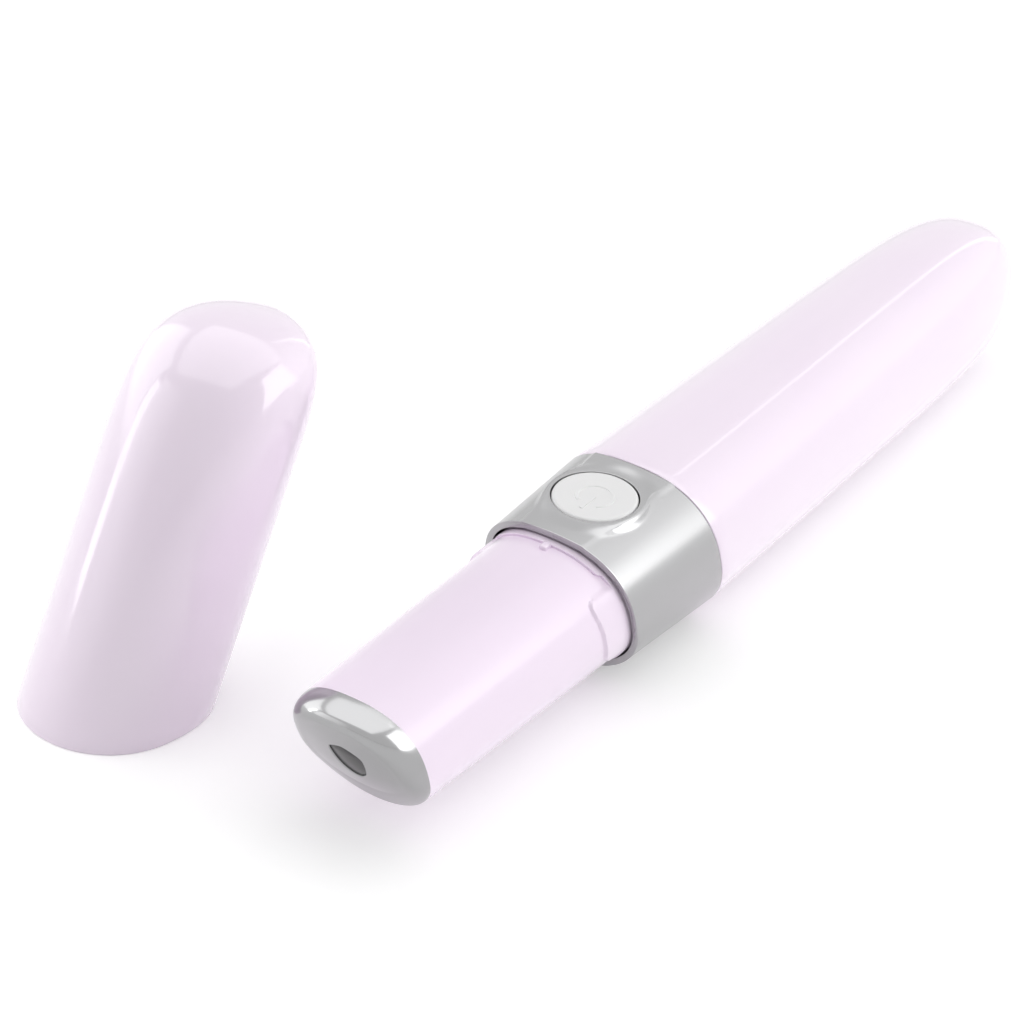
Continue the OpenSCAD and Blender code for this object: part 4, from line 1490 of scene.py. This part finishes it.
# ---------------------------------------------------------------- studio
@dataclass
class Card:
    """A soft light: an upright lit sheet that fills a range of directions round a focus."""

    name: str
    focus: tuple[float, float]
    distance: float
    left: float
    right: float
    height: float
    left_level: float
    right_level: float

    def build(self) -> bpy.types.Object:
        """Adds the lamp and turns it to its focus.

        Returns:
            The linked lamp.
        """
        half = math.radians((self.right - self.left) / 2.0)
        middle = math.radians((self.right + self.left) / 2.0)
        data = bpy.data.lights.new(self.name, "AREA")
        data.shape = "RECTANGLE"
        data.size = 2.0 * self.distance * math.tan(half)
        data.size_y = self.height
        data.energy = math.pi * data.size * data.size_y
        self.shade(data)
        away = Vector((math.sin(middle), math.cos(middle), 0.0))
        place = Vector((*self.focus, self.height / 2.0)) + away * self.distance
        return stand(data, place, -away)

    def shade(self, data: bpy.types.Light) -> None:
        """Runs the lamp's strength from its left edge to its right edge.

        Args:
            data: the lamp.
        """
        data.use_nodes = True
        tree = data.node_tree
        tree.nodes.clear()
        where = add_node(tree, "ShaderNodeNewGeometry").outputs["Parametric"]
        split = add_node(tree, "ShaderNodeSeparateXYZ", None, {"Vector": where})
        level = add_node(
            tree,
            "ShaderNodeMapRange",
            {"To Min": self.right_level, "To Max": self.left_level},
            {"Value": split.outputs["X"]},
        )
        glow = add_node(tree, "ShaderNodeEmission", None, {"Strength": level.outputs["Result"]})
        output = add_node(tree, "ShaderNodeOutputLight")
        tree.links.new(glow.outputs["Emission"], output.inputs["Surface"])


def stand(data: bpy.types.Light, place: Vector, toward: Vector) -> bpy.types.Object:
    """Places a lamp so that it shines along a direction.

    Args:
        data: the lamp.
        place: its centre.
        toward: where it shines.

    Returns:
        The linked lamp.
    """
    obj = bpy.data.objects.new(data.name, data)
    bpy.context.scene.collection.objects.link(obj)
    turn = toward.to_track_quat("-Z", "Y").to_matrix().to_4x4()
    obj.matrix_world = Matrix.Translation(place) @ turn
    return obj


@dataclass
class Studio:
    """Pale floor, soft lights and the camera at the photograph's angle."""

    ambient: float = 0.24
    overhead_size: float = 1.6
    overhead_height: float = 1.0
    overhead_level: float = 0.98
    floor_half: float = 3.0
    floor_glow: float = 0.2
    lens: float = 140.625
    camera_from_ring: tuple[float, float, float] = (191.19 * MM, -344.52 * MM, 256.22 * MM)
    azimuth: float = 30.016
    elevation: float = 31.863
    roll: float = 5.606
    cards: list[Card] = field(default_factory=lambda: [
        Card("back_box", (0.018, 0.01), 0.70, 1.5, 48.0, 0.86, 0.05, 0.65),
        Card("right_box", (0.018, 0.01), 0.70, 48.0, 92.0, 0.62, 1.8, 3.0),
        Card("back_strip", (0.018, 0.01), 0.75, -1.8, 1.2, 0.86, 1.3, 1.3),
        Card("left_box", (-0.019, -0.068), 0.60, -117.0, -60.0, 0.60, 1.4, 1.1),
        Card("left_strip", (-0.019, -0.068), 0.16, -127.0, -117.5, 0.12, 3.0, 3.0),
        Card("left_fall", (-0.019, -0.068), 0.60, -172.0, -127.0, 0.45, 0.0, 1.1),
    ])

    def build(self, setting: Setting) -> None:
        """Builds the whole studio.

        Args:
            setting: where the wand lies.
        """
        self.world()
        self.floor()
        self.camera(setting)
        for card in self.cards:
            card.build()
        self.overhead()
        bpy.context.scene.view_settings.view_transform = "Standard"

    def seen(self, tree: bpy.types.NodeTree, unseen: float, seen: float) -> bpy.types.NodeSocket:
        """Makes a level that differs between what is seen and what only lights.

        Args:
            tree: the world's or material's node tree.
            unseen: the level for light that falls on the object.
            seen: the level for the camera, for reflections and for clear pieces.

        Returns:
            The socket that carries the level.
        """
        path = add_node(tree, "ShaderNodeLightPath")
        mirrored = add_node(tree, "ShaderNodeMath", {"operation": "MAXIMUM"})
        tree.links.new(path.outputs["Is Glossy Ray"], mirrored.inputs[0])
        tree.links.new(path.outputs["Is Transmission Ray"], mirrored.inputs[1])
        either = add_node(tree, "ShaderNodeMath", {"operation": "MAXIMUM"})
        tree.links.new(path.outputs["Is Camera Ray"], either.inputs[0])
        tree.links.new(mirrored.outputs[0], either.inputs[1])
        span = {"To Min": unseen, "To Max": seen}
        return add_node(tree, "ShaderNodeMapRange", span, {"Value": either.outputs[0]}).outputs["Result"]

    def world(self) -> None:
        """A plain pale surround, seen as white."""
        world = bpy.data.worlds.new("surround")
        bpy.context.scene.world = world
        world.use_nodes = True
        tree = world.node_tree
        tree.nodes.clear()
        level = self.seen(tree, self.ambient, 1.0)
        back = add_node(tree, "ShaderNodeBackground", {"Color": srgb("ffffff")}, {"Strength": level})
        output = add_node(tree, "ShaderNodeOutputWorld")
        tree.links.new(back.outputs["Background"], output.inputs["Surface"])

    def overhead(self) -> None:
        """Hangs a wide soft lamp above the object."""
        data = bpy.data.lights.new("overhead", "AREA")
        data.size = self.overhead_size
        data.energy = math.pi * data.size**2 * self.overhead_level
        stand(data, Vector((0.0, 0.0, self.overhead_height)), Vector((0.0, 0.0, -1.0)))

    def floor(self) -> None:
        """A wide pale floor under the object, lifted to white where no shadow falls."""
        mesh = bmesh.new()
        bmesh.ops.create_grid(mesh, x_segments=1, y_segments=1, size=self.floor_half)
        obj = finish_mesh("floor", mesh, Matrix.Identity(4))
        material = bpy.data.materials.new("matt_white_card")
        material.use_nodes = True
        tree = material.node_tree
        shader = tree.nodes["Principled BSDF"]
        shader.inputs["Base Color"].default_value = srgb("fbfbfb")
        shader.inputs["Roughness"].default_value = 0.9
        shader.inputs["Specular IOR Level"].default_value = 0.0
        shader.inputs["Emission Color"].default_value = srgb("ffffff")
        tree.links.new(self.seen(tree, 0.0, self.floor_glow), shader.inputs["Emission Strength"])
        obj.data.materials.append(material)

    def camera(self, setting: Setting) -> None:
        """Places the camera where the photograph was taken from.

        Args:
            setting: where the wand lies.
        """
        data = bpy.data.cameras.new("camera")
        data.lens = self.lens
        data.sensor_width = 36.0
        data.clip_start = 0.01
        data.clip_end = 20.0
        obj = bpy.data.objects.new("camera", data)
        bpy.context.scene.collection.objects.link(obj)
        az, el, roll = (math.radians(v) for v in (self.azimuth, self.elevation, self.roll))
        back = Vector((math.sin(az) * math.cos(el), -math.cos(az) * math.cos(el), math.sin(el)))
        right = (-back).cross(Vector((0.0, 0.0, 1.0))).normalized()
        upward = right.cross(-back)
        side = right * math.cos(roll) + upward * math.sin(roll)
        rise = upward * math.cos(roll) - right * math.sin(roll)
        turn = Matrix((side, rise, back)).transposed().to_4x4()
        origin = setting.wand @ Vector(self.camera_from_ring)
        obj.matrix_world = Matrix.Translation(origin) @ turn
        bpy.context.scene.camera = obj


def main() -> None:
    """Builds the wand, its cap and the studio."""
    logging.basicConfig(level=logging.INFO, format="%(name)s %(message)s")
    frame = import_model()
    setting = Setting.from_frame()
    builder = Builder(setting, Wardrobe())
    Studio().build(setting)
    ring = Ring()
    Handle().build(builder)
    ring.build(builder)
    Button().build(builder, ring.ridge.z - ring.pad_depth)
    Sleeve().build(builder)
    Head().build(builder)
    Cap().build(builder)
    dress_nodes(frame["nodes"], builder.wardrobe)


if __name__ == "__main__":
    main()
